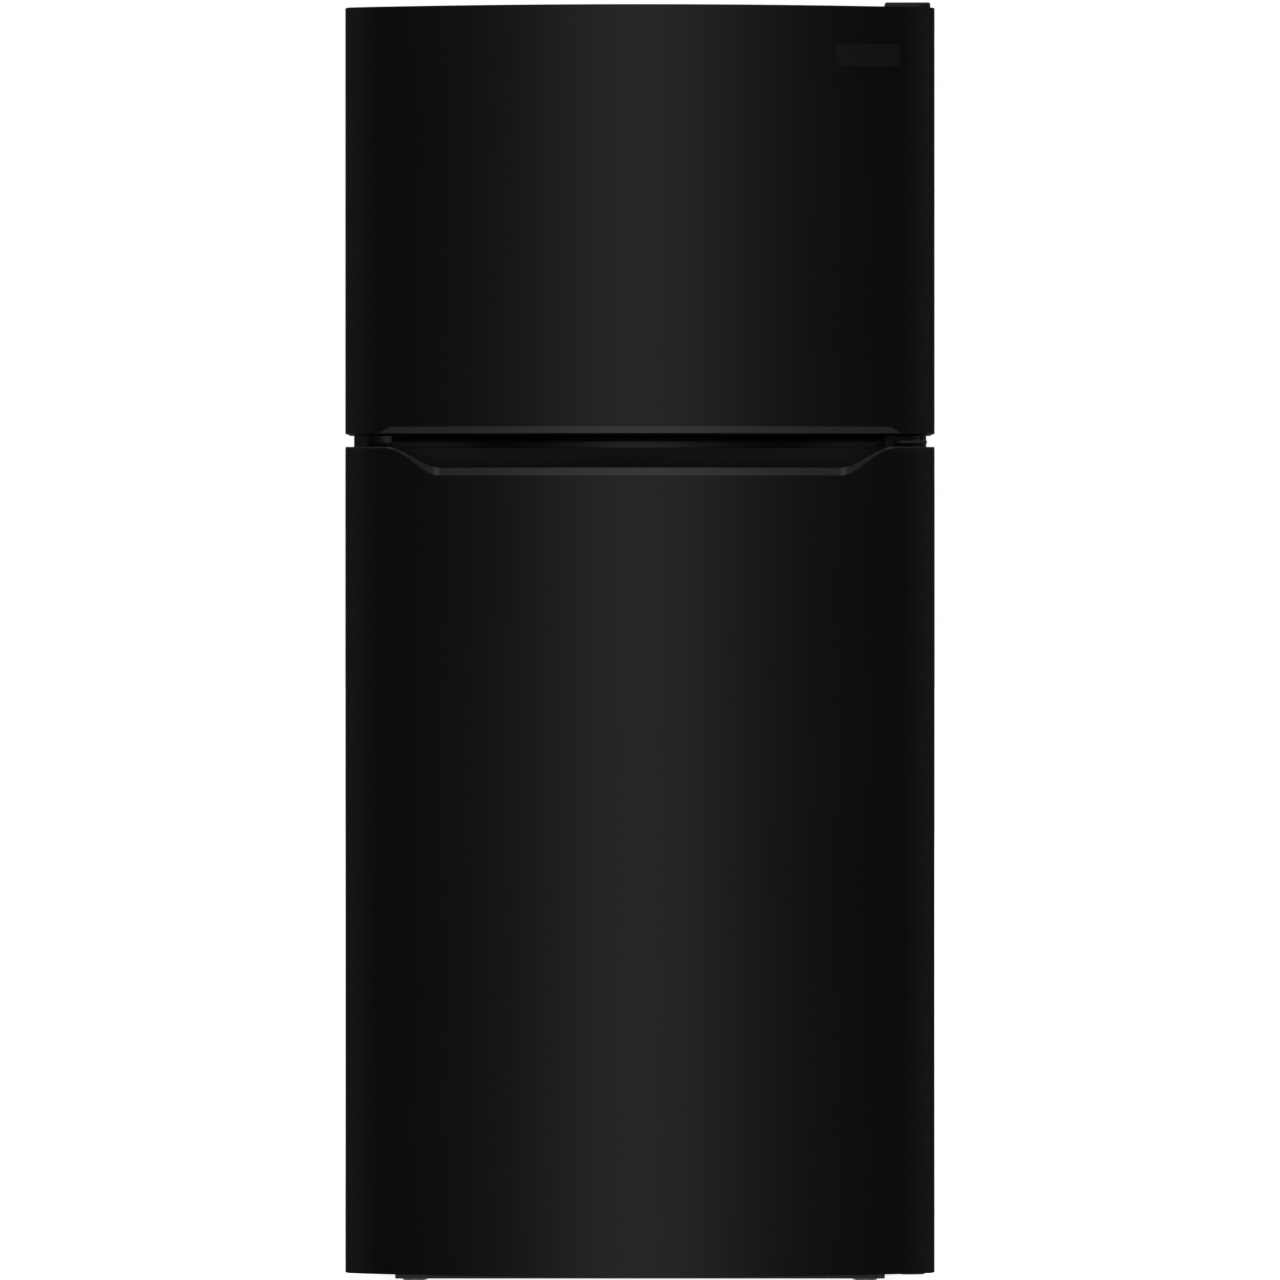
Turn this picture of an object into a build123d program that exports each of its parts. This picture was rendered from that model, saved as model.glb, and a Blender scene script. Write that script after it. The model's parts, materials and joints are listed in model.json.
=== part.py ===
from build123d import *
from math import sqrt
import os

# Top freezer refrigerator, millimetres. +X right, +Y back, +Z up.
# The origin is on the floor, under the middle of the overall box; the doors face -Y.

os.makedirs("parts", exist_ok=True)

# ---- overall sizes
overall_depth = 771.5  # crown of the doors to the rear standoffs
door_width = 760.0
cabinet_inset = 3.0  # cabinet side behind the door's side
door_above_cabinet = 8.0
cover_rise = 11.0  # hinge cover above the doors

# ---- doors
door_crown = 18.5  # how far the middle of a door stands ahead of its side edges
shoulder = 44.0  # width of the tighter curve at each side of the front
shoulder_drop = 4.7  # part of the crown that the shoulder takes
corner_radius = 8.0  # bend from the front into the side
door_edge_depth = 60.0
door_sheet = 0.8
fridge_door_bottom = 41.0
fridge_door_height = 1061.0
door_gap = 19.0
freezer_door_height = 548.0
cap_wall = 3.0
cap_height = 66.0  # end cap with a grip pocket
plain_cap_height = 22.0
liner_wall = 2.5
gasket_gap = 12.0  # door back to cabinet front, filled by the gasket
gasket_width = 18.0
gasket_inset = 13.0  # door side to gasket

# ---- grip scoop
scoop_depth = 27.0  # how far the lip of the lower door drops in the middle
scoop_half = 327.0  # where the drop begins
scoop_flat_half = 257.0  # where the lip is level again
lip_bevel = 10.3  # height of the bevelled strip in the middle
lip_bevel_end = 2.0  # and at the sides
lip_setback = 8.0  # how far the strip leans back
upper_lip = 8.4  # height of the strip under the freezer door
upper_lip_setback = 5.0
upper_lip_half = 321.0
upper_lip_run = 15.0
grip_half = 262.0  # half the length of the finger pocket
grip_depth = 26.0  # from the lip to the back of the pocket
grip_drop = 34.0  # pocket below the crest of the lip

# ---- cabinet
sheet = 1.0
side_wall = 50.0
top_wall = 50.0
back_wall = 58.0
mullion_height = 70.0
side_panel_bottom = 25.0
deck_height = 80.0
fridge_floor = 125.0
rear_standoff = 6.0
machine_depth = 170.0
machine_top = 215.0
hump_wall = 48.0  # insulation between the machine compartment and the liner
liner_radius = 16.0
fit_gap = 0.5

# ---- hinges
pin_radius = 4.0
pin_clearance = 0.06
pin_edge = 12.0  # door side to pin axis
pin_back = 30.0  # door back to pin axis
hinge_plate = 4.0
pin_grip = 14.0  # pin length inside a door
bushing_radius = 7.0

# ---- inside
evaporator_cover_y = 238.0
shelf_front = -178.0
shelf_heights = (560.0, 790.0)
crisper_height = 196.0
glass = 4.0
frame_under = 6.0  # shelf frame below the glass
slide_gap = 0.4
crisper_front = -175.0
crisper_back = 150.0
crisper_bottom = 135.0
crisper_inner = 4.0  # centre line to the inner side of a crisper
crisper_gap = 12.5  # liner wall to a crisper
crisper_headroom = 21.0  # crisper to the top of the glass over it
runner_width = 12.0
freezer_shelf_front = -150.0
freezer_shelf_back = 226.0
dike_rise = 55.0
dike_width = 26.0
dike_clearance = 12.0
bin_wall = 2.5

# ---- worked-out places
front_y = -overall_depth / 2
edge_y = front_y + door_crown
door_back_y = edge_y + door_edge_depth
cabinet_front_y = door_back_y + gasket_gap
cabinet_back_y = overall_depth / 2 - rear_standoff
half_door = door_width / 2
half_cabinet = half_door - cabinet_inset
cabinet_width = 2 * half_cabinet
fridge_door_top = fridge_door_bottom + fridge_door_height
freezer_door_bottom = fridge_door_top + door_gap
freezer_door_top = freezer_door_bottom + freezer_door_height
cabinet_top = freezer_door_top - door_above_cabinet
overall_height = freezer_door_top + cover_rise
seam = (fridge_door_top + freezer_door_bottom) / 2
fridge_roof = seam - mullion_height / 2
freezer_floor = seam + mullion_height / 2
freezer_roof = cabinet_top - top_wall
half_cavity = half_cabinet - side_wall
cavity_back_y = cabinet_back_y - back_wall
machine_front_y = cabinet_back_y - machine_depth
hump_y = machine_front_y - hump_wall
hump_top = machine_top + hump_wall
hinge_x = half_door - pin_edge
hinge_y = door_back_y - pin_back
inner_half = half_cavity - liner_wall
freezer_shelf_height = freezer_floor + 232.0
crisper_outer = inner_half - crisper_gap
crisper_cover_height = crisper_bottom + crisper_height + crisper_headroom
crisper_mid = (crisper_inner + crisper_outer) / 2
runner_x = [side * (crisper_mid + off) for side in (-1, 1) for off in (-105.0, 105.0)]
dike_half = inner_half - dike_clearance


def save(part, name):
    part.label = name
    export_step(part, f"parts/{name}.step")


def block(x, y, z, mode=Mode.ADD):
    """A box between three (low, high) pairs, in the open part."""
    with Locations((sum(x) / 2, sum(y) / 2, sum(z) / 2)):
        Box(x[1] - x[0], y[1] - y[0], z[1] - z[0], mode=mode)


def rod(start, end, radius, mode=Mode.ADD):
    """A round bar between two points, in the open part."""
    line = Vector(*end) - Vector(*start)
    with Locations(Plane(origin=start, z_dir=line.normalized())):
        Cylinder(radius, line.length, align=(Align.CENTER, Align.CENTER, Align.MIN), mode=mode)


def tray(x, y, z, wall, radius):
    """An open-topped bin with rounded upright corners, in the open part."""
    block(x, y, z)
    fillet(edges().filter_by(Axis.Z), radius)
    offset(amount=-wall, openings=faces().sort_by(Axis.Z)[-1])


def door_plan(inset=0.0, back=door_back_y):
    """Plan outline of a door: crowned front, tighter shoulders, rounded corners."""
    crown = door_crown - shoulder_drop
    bend_x = half_door - shoulder
    with BuildSketch() as plan:
        with BuildLine():
            front = ThreePointArc((-bend_x, front_y + crown), (0, front_y), (bend_x, front_y + crown))
            right = TangentArc((bend_x, front_y + crown), (half_door, edge_y), tangent=front % 1)
            left = TangentArc((-bend_x, front_y + crown), (-half_door, edge_y), tangent=(front % 0) * -1)
            Polyline(right @ 1, (half_door, 0), (-half_door, 0), left @ 1)
        make_face()
        outermost = vertices().filter_by(lambda v: abs(abs(v.X) - half_door) < 1e-3)
        fillet(outermost.sort_by(Axis.Y)[:2], corner_radius)
        if inset:
            offset(amount=-inset, kind=Kind.INTERSECTION, mode=Mode.REPLACE)
        with Locations((0, back + door_width / 2)):
            Rectangle(2 * door_width, door_width, mode=Mode.SUBTRACT)
    return plan.sketch


def plan_at(z, inset=0.0, back=door_back_y):
    return door_plan(inset, back).moved(Location((0, 0, z)))


def front_at(x):
    """Y of the front at x: the main curve, then the tighter shoulder that runs on from it."""
    crown = door_crown - shoulder_drop
    bend_x = half_door - shoulder
    radius = (bend_x**2 + crown**2) / (2 * crown)
    x = abs(x)
    if x <= bend_x:
        return front_y + radius - sqrt(radius**2 - x**2)
    slope_sin = bend_x / radius
    slope_cos = sqrt(1 - slope_sin**2)
    bend = (shoulder**2 + shoulder_drop**2) / (2 * (shoulder_drop * slope_cos - shoulder * slope_sin))
    centre_x = bend_x - bend * slope_sin
    return front_y + crown + bend * slope_cos - sqrt(bend**2 - (x - centre_x) ** 2)


def ease(t):
    t = min(1.0, max(0.0, t))
    return t * t * (3 - 2 * t)


def scoop_share(x):
    return ease((scoop_half - abs(x)) / (scoop_half - scoop_flat_half))


def crest_z(x):
    """Top of the lower door's lip at x."""
    return fridge_door_top - scoop_depth * scoop_share(x)


def skin_z(x):
    """Upper edge of the lower door's steel front at x."""
    return crest_z(x) - lip_bevel_end - (lip_bevel - lip_bevel_end) * scoop_share(x)


# stations across the lip: close together where it curves, none where it is level
steps = 12
curve_x = [scoop_flat_half + (scoop_half - scoop_flat_half) * i / steps for i in range(steps + 1)]
lip_x = [-x for x in reversed(curve_x)] + curve_x
level_x = [scoop_flat_half * i / 4 for i in range(-3, 4)]
end_x = [half_door - shoulder, half_door - shoulder / 2, half_door]
lip_stations = sorted(lip_x + level_x + end_x + [-x for x in end_x])

# ---- hinge screws: where each head sits, and the way it points out
hinge_sheet = 3.0
screw_radius = 2.4
screw_head_radius = 5.0
screw_head = 3.5
hinge_on_rail = 5.0  # the plate's hold on the crossbar
hinge_low_x = half_cavity - hinge_on_rail
hinge_high_x = half_cabinet - 4.0
flange_height = 41.0
top_plate_back = cabinet_front_y + 82.0
front_plate_y = cabinet_front_y - hinge_sheet
hinge_screws = [
    ((x, front_plate_y, z), (0, -1, 0))
    for x, z in (
        (hinge_low_x + 12, seam - 11),
        (hinge_low_x + 38, seam - 11),
        (hinge_low_x + 12, seam + 11),
        (hinge_low_x + 38, seam + 11),
        (hinge_low_x + 12, fridge_door_bottom + 22),
        (hinge_low_x + 38, fridge_door_bottom + 22),
    )
] + [
    ((x, y, cabinet_top + hinge_sheet), (0, 0, 1))
    for x, y in (
        (hinge_low_x + 14, cabinet_front_y + 20),
        (hinge_low_x + 37, cabinet_front_y + 20),
        (hinge_low_x + 25, cabinet_front_y + 66),
    )
]


def screw_holes(spots, clearance=0.1):
    """Holes for the screws, through the plate and the sheet behind it, in the open part."""
    for spot, out in spots:
        start = Vector(*spot) + Vector(*out)
        end = Vector(*spot) - Vector(*out) * (hinge_sheet + 2 * sheet)
        rod(tuple(end), tuple(start), screw_radius + clearance, mode=Mode.SUBTRACT)


# ==== cabinet sheet metal

# outer wrapper: two sides, the top, and the narrow front flange that the gaskets close on
with BuildPart() as wrapper:
    block(
        (-half_cabinet, half_cabinet),
        (cabinet_front_y, cabinet_back_y),
        (side_panel_bottom, cabinet_top),
    )
    block(
        (-half_cabinet + sheet, half_cabinet - sheet),
        (cabinet_front_y + sheet, cabinet_back_y + sheet),
        (side_panel_bottom - sheet, cabinet_top - sheet),
        mode=Mode.SUBTRACT,
    )
    block(
        (-half_cavity - fit_gap, half_cavity + fit_gap),
        (cabinet_front_y - sheet, cabinet_front_y + 2 * sheet),
        (side_panel_bottom - sheet, freezer_roof + fit_gap),
        mode=Mode.SUBTRACT,
    )
    outer_edges = edges().filter_by(Axis.Y).group_by(Axis.Z)[-1]
    fillet(outer_edges, 0.6 * sheet)
    screw_holes(hinge_screws)
save(wrapper.part, "cabinet_wrapper")

# rear panel, inside the wrapper, from the machine compartment up
back_sheet = (-half_cabinet + sheet + fit_gap, half_cabinet - sheet - fit_gap)
with BuildPart() as back_panel:
    block(back_sheet, (cabinet_back_y - sheet, cabinet_back_y), (machine_top, cabinet_top - sheet - fit_gap))
    rib_width = 14.0
    for x in (-half_cabinet / 2, 0, half_cabinet / 2):
        block(
            (x - rib_width, x + rib_width),
            (cabinet_back_y, cabinet_back_y + rear_standoff),
            (machine_top + 120, cabinet_top - 120),
        )
save(back_panel.part, "back_panel")

# base deck: floor pan, riser and roof of the machine compartment, in one bent sheet
deck_sheet = 1.5
with BuildPart() as base_deck:
    with BuildSketch(Plane.YZ.offset(-half_cabinet + sheet)):
        with BuildLine():
            Polyline(
                (cabinet_front_y, fridge_floor - fit_gap),
                (cabinet_front_y, deck_height),
                (machine_front_y, deck_height),
                (machine_front_y, machine_top - deck_sheet),
                (cabinet_back_y - 2 * sheet, machine_top - deck_sheet),
                (cabinet_back_y - 2 * sheet, machine_top),
                (machine_front_y - deck_sheet, machine_top),
                (machine_front_y - deck_sheet, deck_height + deck_sheet),
                (cabinet_front_y + sheet, deck_height + deck_sheet),
                (cabinet_front_y + sheet, fridge_floor - fit_gap),
                close=True,
            )
        make_face()
    extrude(amount=cabinet_width - 2 * sheet)
    for side in (-1, 1):
        corner_x = (half_cavity + fit_gap, half_cabinet)
        block(
            tuple(sorted(side * x for x in corner_x)),
            (cabinet_front_y - sheet, cabinet_front_y + sheet),
            (deck_height - sheet, fridge_floor + sheet),
            mode=Mode.SUBTRACT,
        )
save(base_deck.part, "base_deck")

# crossbar between the two compartments, a shallow channel
mullion_lip = 18.0
with BuildPart() as mullion:
    half_bar = half_cavity
    z = (fridge_roof + fit_gap, freezer_floor - fit_gap)
    block((-half_bar, half_bar), (cabinet_front_y, cabinet_front_y + mullion_lip), z)
    block(
        (-half_bar - 1, half_bar + 1),
        (cabinet_front_y + sheet, cabinet_front_y + mullion_lip + 1),
        (z[0] + sheet, z[1] - sheet),
        mode=Mode.SUBTRACT,
    )
save(mullion.part, "mullion_rail")


# ==== liners and foam


def fridge_profile(inset=0.0, front=cabinet_front_y):
    """Side profile of the fresh-food liner, stepped over the machine compartment."""
    with BuildSketch(Plane.YZ) as profile:
        with BuildLine():
            Polyline(
                (front, fridge_floor + inset),
                (hump_y - inset, fridge_floor + inset),
                (hump_y - inset, hump_top + inset),
                (cavity_back_y - inset, hump_top + inset),
                (cavity_back_y - inset, fridge_roof - inset),
                (front, fridge_roof - inset),
                close=True,
            )
        make_face()
    return profile.sketch


def long_edges(low_z, high_z):
    """The four front-to-back corner edges of a liner that is open in the open part."""
    found = edges().filter_by(Axis.Y)
    return found.filter_by(lambda e: abs(e.center().Z - low_z) < 0.01 or abs(e.center().Z - high_z) < 0.01)


def ledges(heights, front, back, rise=7.0, reach=9.0):
    """Moulded shelf rails on both inner side walls, in the open part."""
    for z in heights:
        for side in (-1, 1):
            x = sorted((side * inner_half, side * (inner_half - reach)))
            block(x, (front, back), (z - rise, z))


def fridge_cavity(inset=0.0, front=cabinet_front_y):
    """The fresh-food space as a solid, its long edges rounded."""
    with BuildPart() as cavity:
        extrude(fridge_profile(inset, front), amount=half_cavity - inset, both=True)
        fillet(long_edges(fridge_floor + inset, fridge_roof - inset), liner_radius - inset)
    return cavity.part


def freezer_cavity():
    """The freezer space as a solid, its long edges rounded."""
    with BuildPart() as cavity:
        block((-half_cavity, half_cavity), (cabinet_front_y, cavity_back_y), (freezer_floor, freezer_roof))
        fillet(long_edges(freezer_floor, freezer_roof), liner_radius)
    return cavity.part


with BuildPart() as fridge_liner:
    add(fridge_cavity())
    add(fridge_cavity(liner_wall, cabinet_front_y - 1), mode=Mode.SUBTRACT)
    rail_z = [z - glass - frame_under for z in (*shelf_heights, crisper_cover_height)]
    ledges(rail_z, shelf_front + 4, cavity_back_y - liner_wall)
    for x in runner_x:
        block(
            (x - runner_width / 2, x + runner_width / 2),
            (crisper_front + 8, crisper_back),
            (fridge_floor + liner_wall, crisper_bottom - slide_gap),
        )
save(fridge_liner.part, "fresh_food_liner")

with BuildPart() as freezer_liner:
    add(freezer_cavity())
    offset(amount=-liner_wall, openings=faces().sort_by(Axis.Y)[0])
    ledges([freezer_shelf_height], freezer_shelf_front, freezer_shelf_back)
save(freezer_liner.part, "freezer_liner")

with BuildPart() as foam:
    with BuildSketch(Plane.YZ):
        with BuildLine():
            Polyline(
                (cabinet_front_y + sheet, deck_height + deck_sheet),
                (machine_front_y - deck_sheet, deck_height + deck_sheet),
                (machine_front_y - deck_sheet, machine_top),
                (cabinet_back_y - sheet, machine_top),
                (cabinet_back_y - sheet, cabinet_top - sheet),
                (cabinet_front_y + sheet, cabinet_top - sheet),
                close=True,
            )
        make_face()
    extrude(amount=half_cabinet - sheet, both=True)
    add(fridge_cavity(), mode=Mode.SUBTRACT)
    add(freezer_cavity(), mode=Mode.SUBTRACT)
    block(
        (-half_cabinet, half_cabinet),
        (cabinet_front_y, cabinet_front_y + mullion_lip),
        (fridge_roof, freezer_floor),
        mode=Mode.SUBTRACT,
    )
save(foam.part, "insulation_foam")


# ==== doors

skin_gap = 0.1
core_inset = door_sheet + skin_gap
cap_back_y = door_back_y - liner_wall
pocket_back_y = front_y + lip_setback + 4 + grip_depth
bushing_length = pin_grip + 1.0
boss_radius = bushing_radius + 3.0
hinge_point = (hinge_x, hinge_y)


def prism(z_low, z_high, inset=core_inset, back=cap_back_y):
    """A straight solid over the door's plan."""
    with BuildPart() as solid:
        extrude(plan_at(z_low, inset, back), amount=z_high - z_low)
    return solid.part


def trimmed(solid, x, y, z):
    """What of a solid lies in a box."""
    with BuildPart() as kept:
        add(solid)
        block(x, y, z, mode=Mode.INTERSECT)
    return kept.part


def grip_trough(z_low, z_high):
    """The walls round a finger pocket, still filled in."""
    half = grip_half + cap_wall
    return trimmed(prism(z_low, z_high), (-half, half), (front_y, pocket_back_y + cap_wall), (z_low, z_high))


def finger_pocket(z_low, z_high):
    """The space behind a lip, with its front wall following the door's curve."""
    ahead = prism(z_low, z_high, core_inset + lip_setback + cap_wall, cap_back_y)
    return trimmed(ahead, (-grip_half, grip_half), (front_y, pocket_back_y), (z_low, z_high))


def hinge_boss(z_low, z_high):
    with BuildPart() as boss:
        rod((*hinge_point, z_low), (*hinge_point, z_high), boss_radius)
    return boss.part


def lip_cutter():
    """Everything above the lower door's lip: the bevel, the crest and the scoop behind it."""
    with BuildPart() as cutter:
        for x in lip_stations:
            y, crest = front_at(x) + core_inset, crest_z(x)
            slope = (crest - skin_z(x)) / lip_setback
            ahead = 6.0
            with BuildSketch(Plane.YZ.offset(x)):
                with BuildLine():
                    Polyline(
                        (y - ahead, skin_z(x) - slope * ahead),
                        (y + lip_setback, crest),
                        (pocket_back_y, crest),
                        (pocket_back_y, fridge_door_top + 5),
                        (y - ahead, fridge_door_top + 5),
                        close=True,
                    )
                make_face()
        loft(ruled=True)
    return cutter.part


# -- lower door: grip cap along its top edge
fridge_cap_bottom = fridge_door_top - cap_height
pocket_floor = fridge_door_top - scoop_depth - grip_drop
with BuildPart() as fridge_grip_cap:
    add(prism(fridge_cap_bottom, fridge_door_top))
    hollow_top = fridge_door_top - cap_wall
    add(
        prism(fridge_cap_bottom - 1, hollow_top, core_inset + cap_wall, cap_back_y - cap_wall),
        mode=Mode.SUBTRACT,
    )
    shelf_depth = fridge_door_top - scoop_depth - cap_wall
    scoop_end = scoop_half + cap_wall
    scoop_rear = pocket_back_y + cap_wall
    add(
        trimmed(
            prism(shelf_depth, fridge_door_top),
            (-scoop_end, scoop_end),
            (front_y, scoop_rear),
            (shelf_depth, fridge_door_top),
        )
    )
    add(grip_trough(pocket_floor - cap_wall, fridge_door_top))
    add(hinge_boss(fridge_door_top - bushing_length - cap_wall, fridge_door_top - 0.5))
    add(finger_pocket(pocket_floor, fridge_door_top + 1), mode=Mode.SUBTRACT)
    add(lip_cutter(), mode=Mode.SUBTRACT)
    rod(
        (*hinge_point, fridge_door_top - bushing_length),
        (*hinge_point, fridge_door_top + 1),
        bushing_radius,
        mode=Mode.SUBTRACT,
    )
save(fridge_grip_cap.part, "fridge_door_grip_cap")


def plain_cap(z_low, z_high, opening_up):
    """An end cap with no grip: a shallow pan with a boss for the hinge bushing."""
    with BuildPart() as cap:
        add(prism(z_low, z_high))
        inner = (z_low + cap_wall, z_high + 1) if opening_up else (z_low - 1, z_high - cap_wall)
        add(prism(*inner, core_inset + cap_wall, cap_back_y - cap_wall), mode=Mode.SUBTRACT)
        add(hinge_boss(z_low + 0.5, z_high - 0.5))
        hole = (z_low - 1, z_low + bushing_length) if opening_up else (z_high - bushing_length, z_high + 1)
        rod((*hinge_point, hole[0]), (*hinge_point, hole[1]), bushing_radius, mode=Mode.SUBTRACT)
    return cap.part


save(plain_cap(fridge_door_bottom, fridge_door_bottom + plain_cap_height, True), "fridge_door_bottom_cap")
save(plain_cap(freezer_door_top - plain_cap_height, freezer_door_top, False), "freezer_door_top_cap")

# -- upper door: grip cap along its bottom edge, its lip leaning back as it goes down
freezer_cap_top = freezer_door_bottom + cap_height
freezer_lip_z = freezer_door_bottom + upper_lip


def leaning_lip():
    """The bottom strip of the upper door, narrower at its lower edge."""
    with BuildPart() as lip:
        add(plan_at(freezer_door_bottom, core_inset + upper_lip_setback, cap_back_y))
        add(plan_at(freezer_lip_z, core_inset, cap_back_y))
        loft(ruled=True)
    return lip.part


with BuildPart() as freezer_grip_cap:
    add(prism(freezer_lip_z, freezer_cap_top))
    add(leaning_lip())
    hollow_low = freezer_door_bottom + cap_wall + upper_lip
    add(
        prism(hollow_low, freezer_cap_top + 1, core_inset + cap_wall, cap_back_y - cap_wall),
        mode=Mode.SUBTRACT,
    )
    pocket_top = freezer_door_bottom + grip_drop
    add(grip_trough(freezer_lip_z, pocket_top + cap_wall))
    add(hinge_boss(freezer_door_bottom + 0.5, freezer_door_bottom + bushing_length + cap_wall))
    add(finger_pocket(freezer_door_bottom - 1, pocket_top), mode=Mode.SUBTRACT)
    rod(
        (*hinge_point, freezer_door_bottom - 1),
        (*hinge_point, freezer_door_bottom + bushing_length),
        bushing_radius,
        mode=Mode.SUBTRACT,
    )
save(freezer_grip_cap.part, "freezer_door_grip_cap")


def door_shell(z_low, z_high):
    """Steel front and sides of a door, one bent sheet."""
    with BuildPart() as shell:
        add(prism(z_low, z_high, 0, door_back_y))
        add(prism(z_low - 1, z_high + 1, door_sheet, door_back_y + 1), mode=Mode.SUBTRACT)
    return shell.part


with BuildPart() as fridge_skin:
    add(door_shell(fridge_door_bottom, fridge_door_top))
    with BuildSketch(Plane.XZ.offset(-edge_y + 1)):
        with BuildLine():
            edge_points = [(x, skin_z(x)) for x in lip_stations]
            Polyline(
                (-half_door - 5, fridge_door_top - lip_bevel_end),
                *edge_points,
                (half_door + 5, fridge_door_top - lip_bevel_end),
                (half_door + 5, fridge_door_top + 5),
                (-half_door - 5, fridge_door_top + 5),
                close=True,
            )
        make_face()
    extrude(amount=door_crown + 10, mode=Mode.SUBTRACT)
save(fridge_skin.part, "fridge_door_skin")

with BuildPart() as freezer_skin:
    add(door_shell(freezer_door_bottom, freezer_door_top))
    with BuildSketch(Plane.XZ.offset(-edge_y + 1)):
        with BuildLine():
            lip_end = upper_lip_half + upper_lip_run
            Polyline(
                (-lip_end, freezer_door_bottom - 1),
                (-upper_lip_half, freezer_lip_z),
                (upper_lip_half, freezer_lip_z),
                (lip_end, freezer_door_bottom - 1),
                close=True,
            )
        make_face()
    extrude(amount=door_crown + 10, mode=Mode.SUBTRACT)
save(freezer_skin.part, "freezer_door_skin")


def dike(low, high, inset, start=cap_back_y):
    """The raised rim on a door's inner face: its outer box less its middle."""
    half = dike_half - inset
    top = door_back_y + dike_rise - inset
    middle_half = dike_half - dike_width + inset
    with BuildPart() as rim:
        block((-half, half), (start, top), (low + inset, high - inset))
        fillet(edges().filter_by(Axis.Y), 22.0 - inset)
        block(
            (-middle_half, middle_half),
            (start - 1, top + 1),
            (low + dike_width - inset, high - dike_width + inset),
            mode=Mode.SUBTRACT,
        )
        fillet(faces().sort_by(Axis.Y)[-1].edges(), 7.0 - inset)
    return rim.part


def door_liner(z_low, z_high, dike_low, dike_high):
    """Moulded inner face of a door: a flat flange and panel with a hollow rim standing on it."""
    half = half_door - core_inset - fit_gap
    with BuildPart() as face:
        block((-half, half), (cap_back_y, door_back_y), (z_low + 2, z_high - 2))
        add(dike(dike_low, dike_high, 0.0))
        add(dike(dike_low, dike_high, liner_wall, cap_back_y - 1), mode=Mode.SUBTRACT)
    return face.part


def door_core(z_low, z_high, dike_low, dike_high):
    """Foam between the steel front and the inner face, filling the hollow rim too."""
    with BuildPart() as core:
        add(prism(z_low, z_high))
        add(dike(dike_low, dike_high, liner_wall))
    return core.part


def ring(half, y, z, width):
    """A flat rectangular frame facing the cabinet."""
    with BuildPart() as frame:
        block((-half, half), y, z)
        block((-half + width, half - width), y, (z[0] + width, z[1] - width), mode=Mode.SUBTRACT)
    return frame.part


def gasket(z_low, z_high):
    """Magnetic seal: a retainer foot, a narrow bellows and a wide magnet strip, run round the door."""
    layers = ((0.0, 3.0, 0.0), (3.0, 8.0, 5.0), (8.0, gasket_gap, 1.5))
    half = half_door - gasket_inset
    with BuildPart() as seal:
        for start, end, narrow in layers:
            y = (door_back_y + start, door_back_y + end)
            add(ring(half - narrow, y, (z_low + narrow, z_high - narrow), gasket_width - 2 * narrow))
    return seal.part


dike_margin = liner_wall + dike_clearance
fridge_dike = (fridge_floor + dike_margin, fridge_roof - dike_margin)
freezer_dike = (freezer_floor + dike_margin, freezer_roof - dike_margin)
save(door_liner(fridge_door_bottom, fridge_door_top, *fridge_dike), "fridge_door_liner")
save(door_liner(freezer_door_bottom, freezer_door_top, *freezer_dike), "freezer_door_liner")
fridge_core_z = (fridge_door_bottom + plain_cap_height, fridge_cap_bottom)
freezer_core_z = (freezer_cap_top, freezer_door_top - plain_cap_height)
save(door_core(*fridge_core_z, *fridge_dike), "fridge_door_foam")
save(door_core(*freezer_core_z, *freezer_dike), "freezer_door_foam")
save(gasket(deck_height + 8, fridge_door_top - gasket_inset), "fridge_door_gasket")
save(gasket(freezer_door_bottom + gasket_inset, freezer_door_top - gasket_inset), "freezer_door_gasket")


def bushing(z_low):
    """Plastic sleeve that a hinge pin turns in."""
    with BuildPart() as sleeve:
        rod((*hinge_point, z_low), (*hinge_point, z_low + bushing_length), bushing_radius)
        rod(
            (*hinge_point, z_low - 1),
            (*hinge_point, z_low + bushing_length + 1),
            pin_radius + pin_clearance,
            mode=Mode.SUBTRACT,
        )
    return sleeve.part


def both(first, second):
    return Compound(children=[first, second])


save(both(bushing(fridge_door_bottom), bushing(fridge_door_top - bushing_length)), "fridge_door_bushings")
save(both(bushing(freezer_door_bottom), bushing(freezer_door_top - bushing_length)), "freezer_door_bushings")

# blank nameplate, bent to the front of the upper door
plate_thickness = 1.2
plate_x = (half_door - 129.5, half_door - 46.5)
plate_z = (freezer_door_top - 78.5, freezer_door_top - 49.0)
with BuildPart() as nameplate:
    add(prism(*plate_z, -plate_thickness, door_back_y))
    add(prism(plate_z[0] - 1, plate_z[1] + 1, 0, door_back_y + 1), mode=Mode.SUBTRACT)
    block(plate_x, (front_y - 2, edge_y), plate_z, mode=Mode.INTERSECT)
    fillet(edges().filter_by(Axis.Y), 3.0)
save(nameplate.part, "nameplate")

# -- door bins
bin_y = (door_back_y, door_back_y + 98)
bin_half = dike_half - dike_width - fit_gap


def door_bin(x, z):
    """A bin on a door's inner face: rounded tray, its inner side lower so jars can be lifted out."""
    with BuildPart() as shelf_bin:
        tray(x, bin_y, z, bin_wall, 12.0)
        window = (z[0] + 0.62 * (z[1] - z[0]), z[1] - 12)
        block((x[0] + 22, x[1] - 22), (bin_y[1] - 2 * bin_wall, bin_y[1] + 1), window, mode=Mode.SUBTRACT)
    return shelf_bin.part


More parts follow.
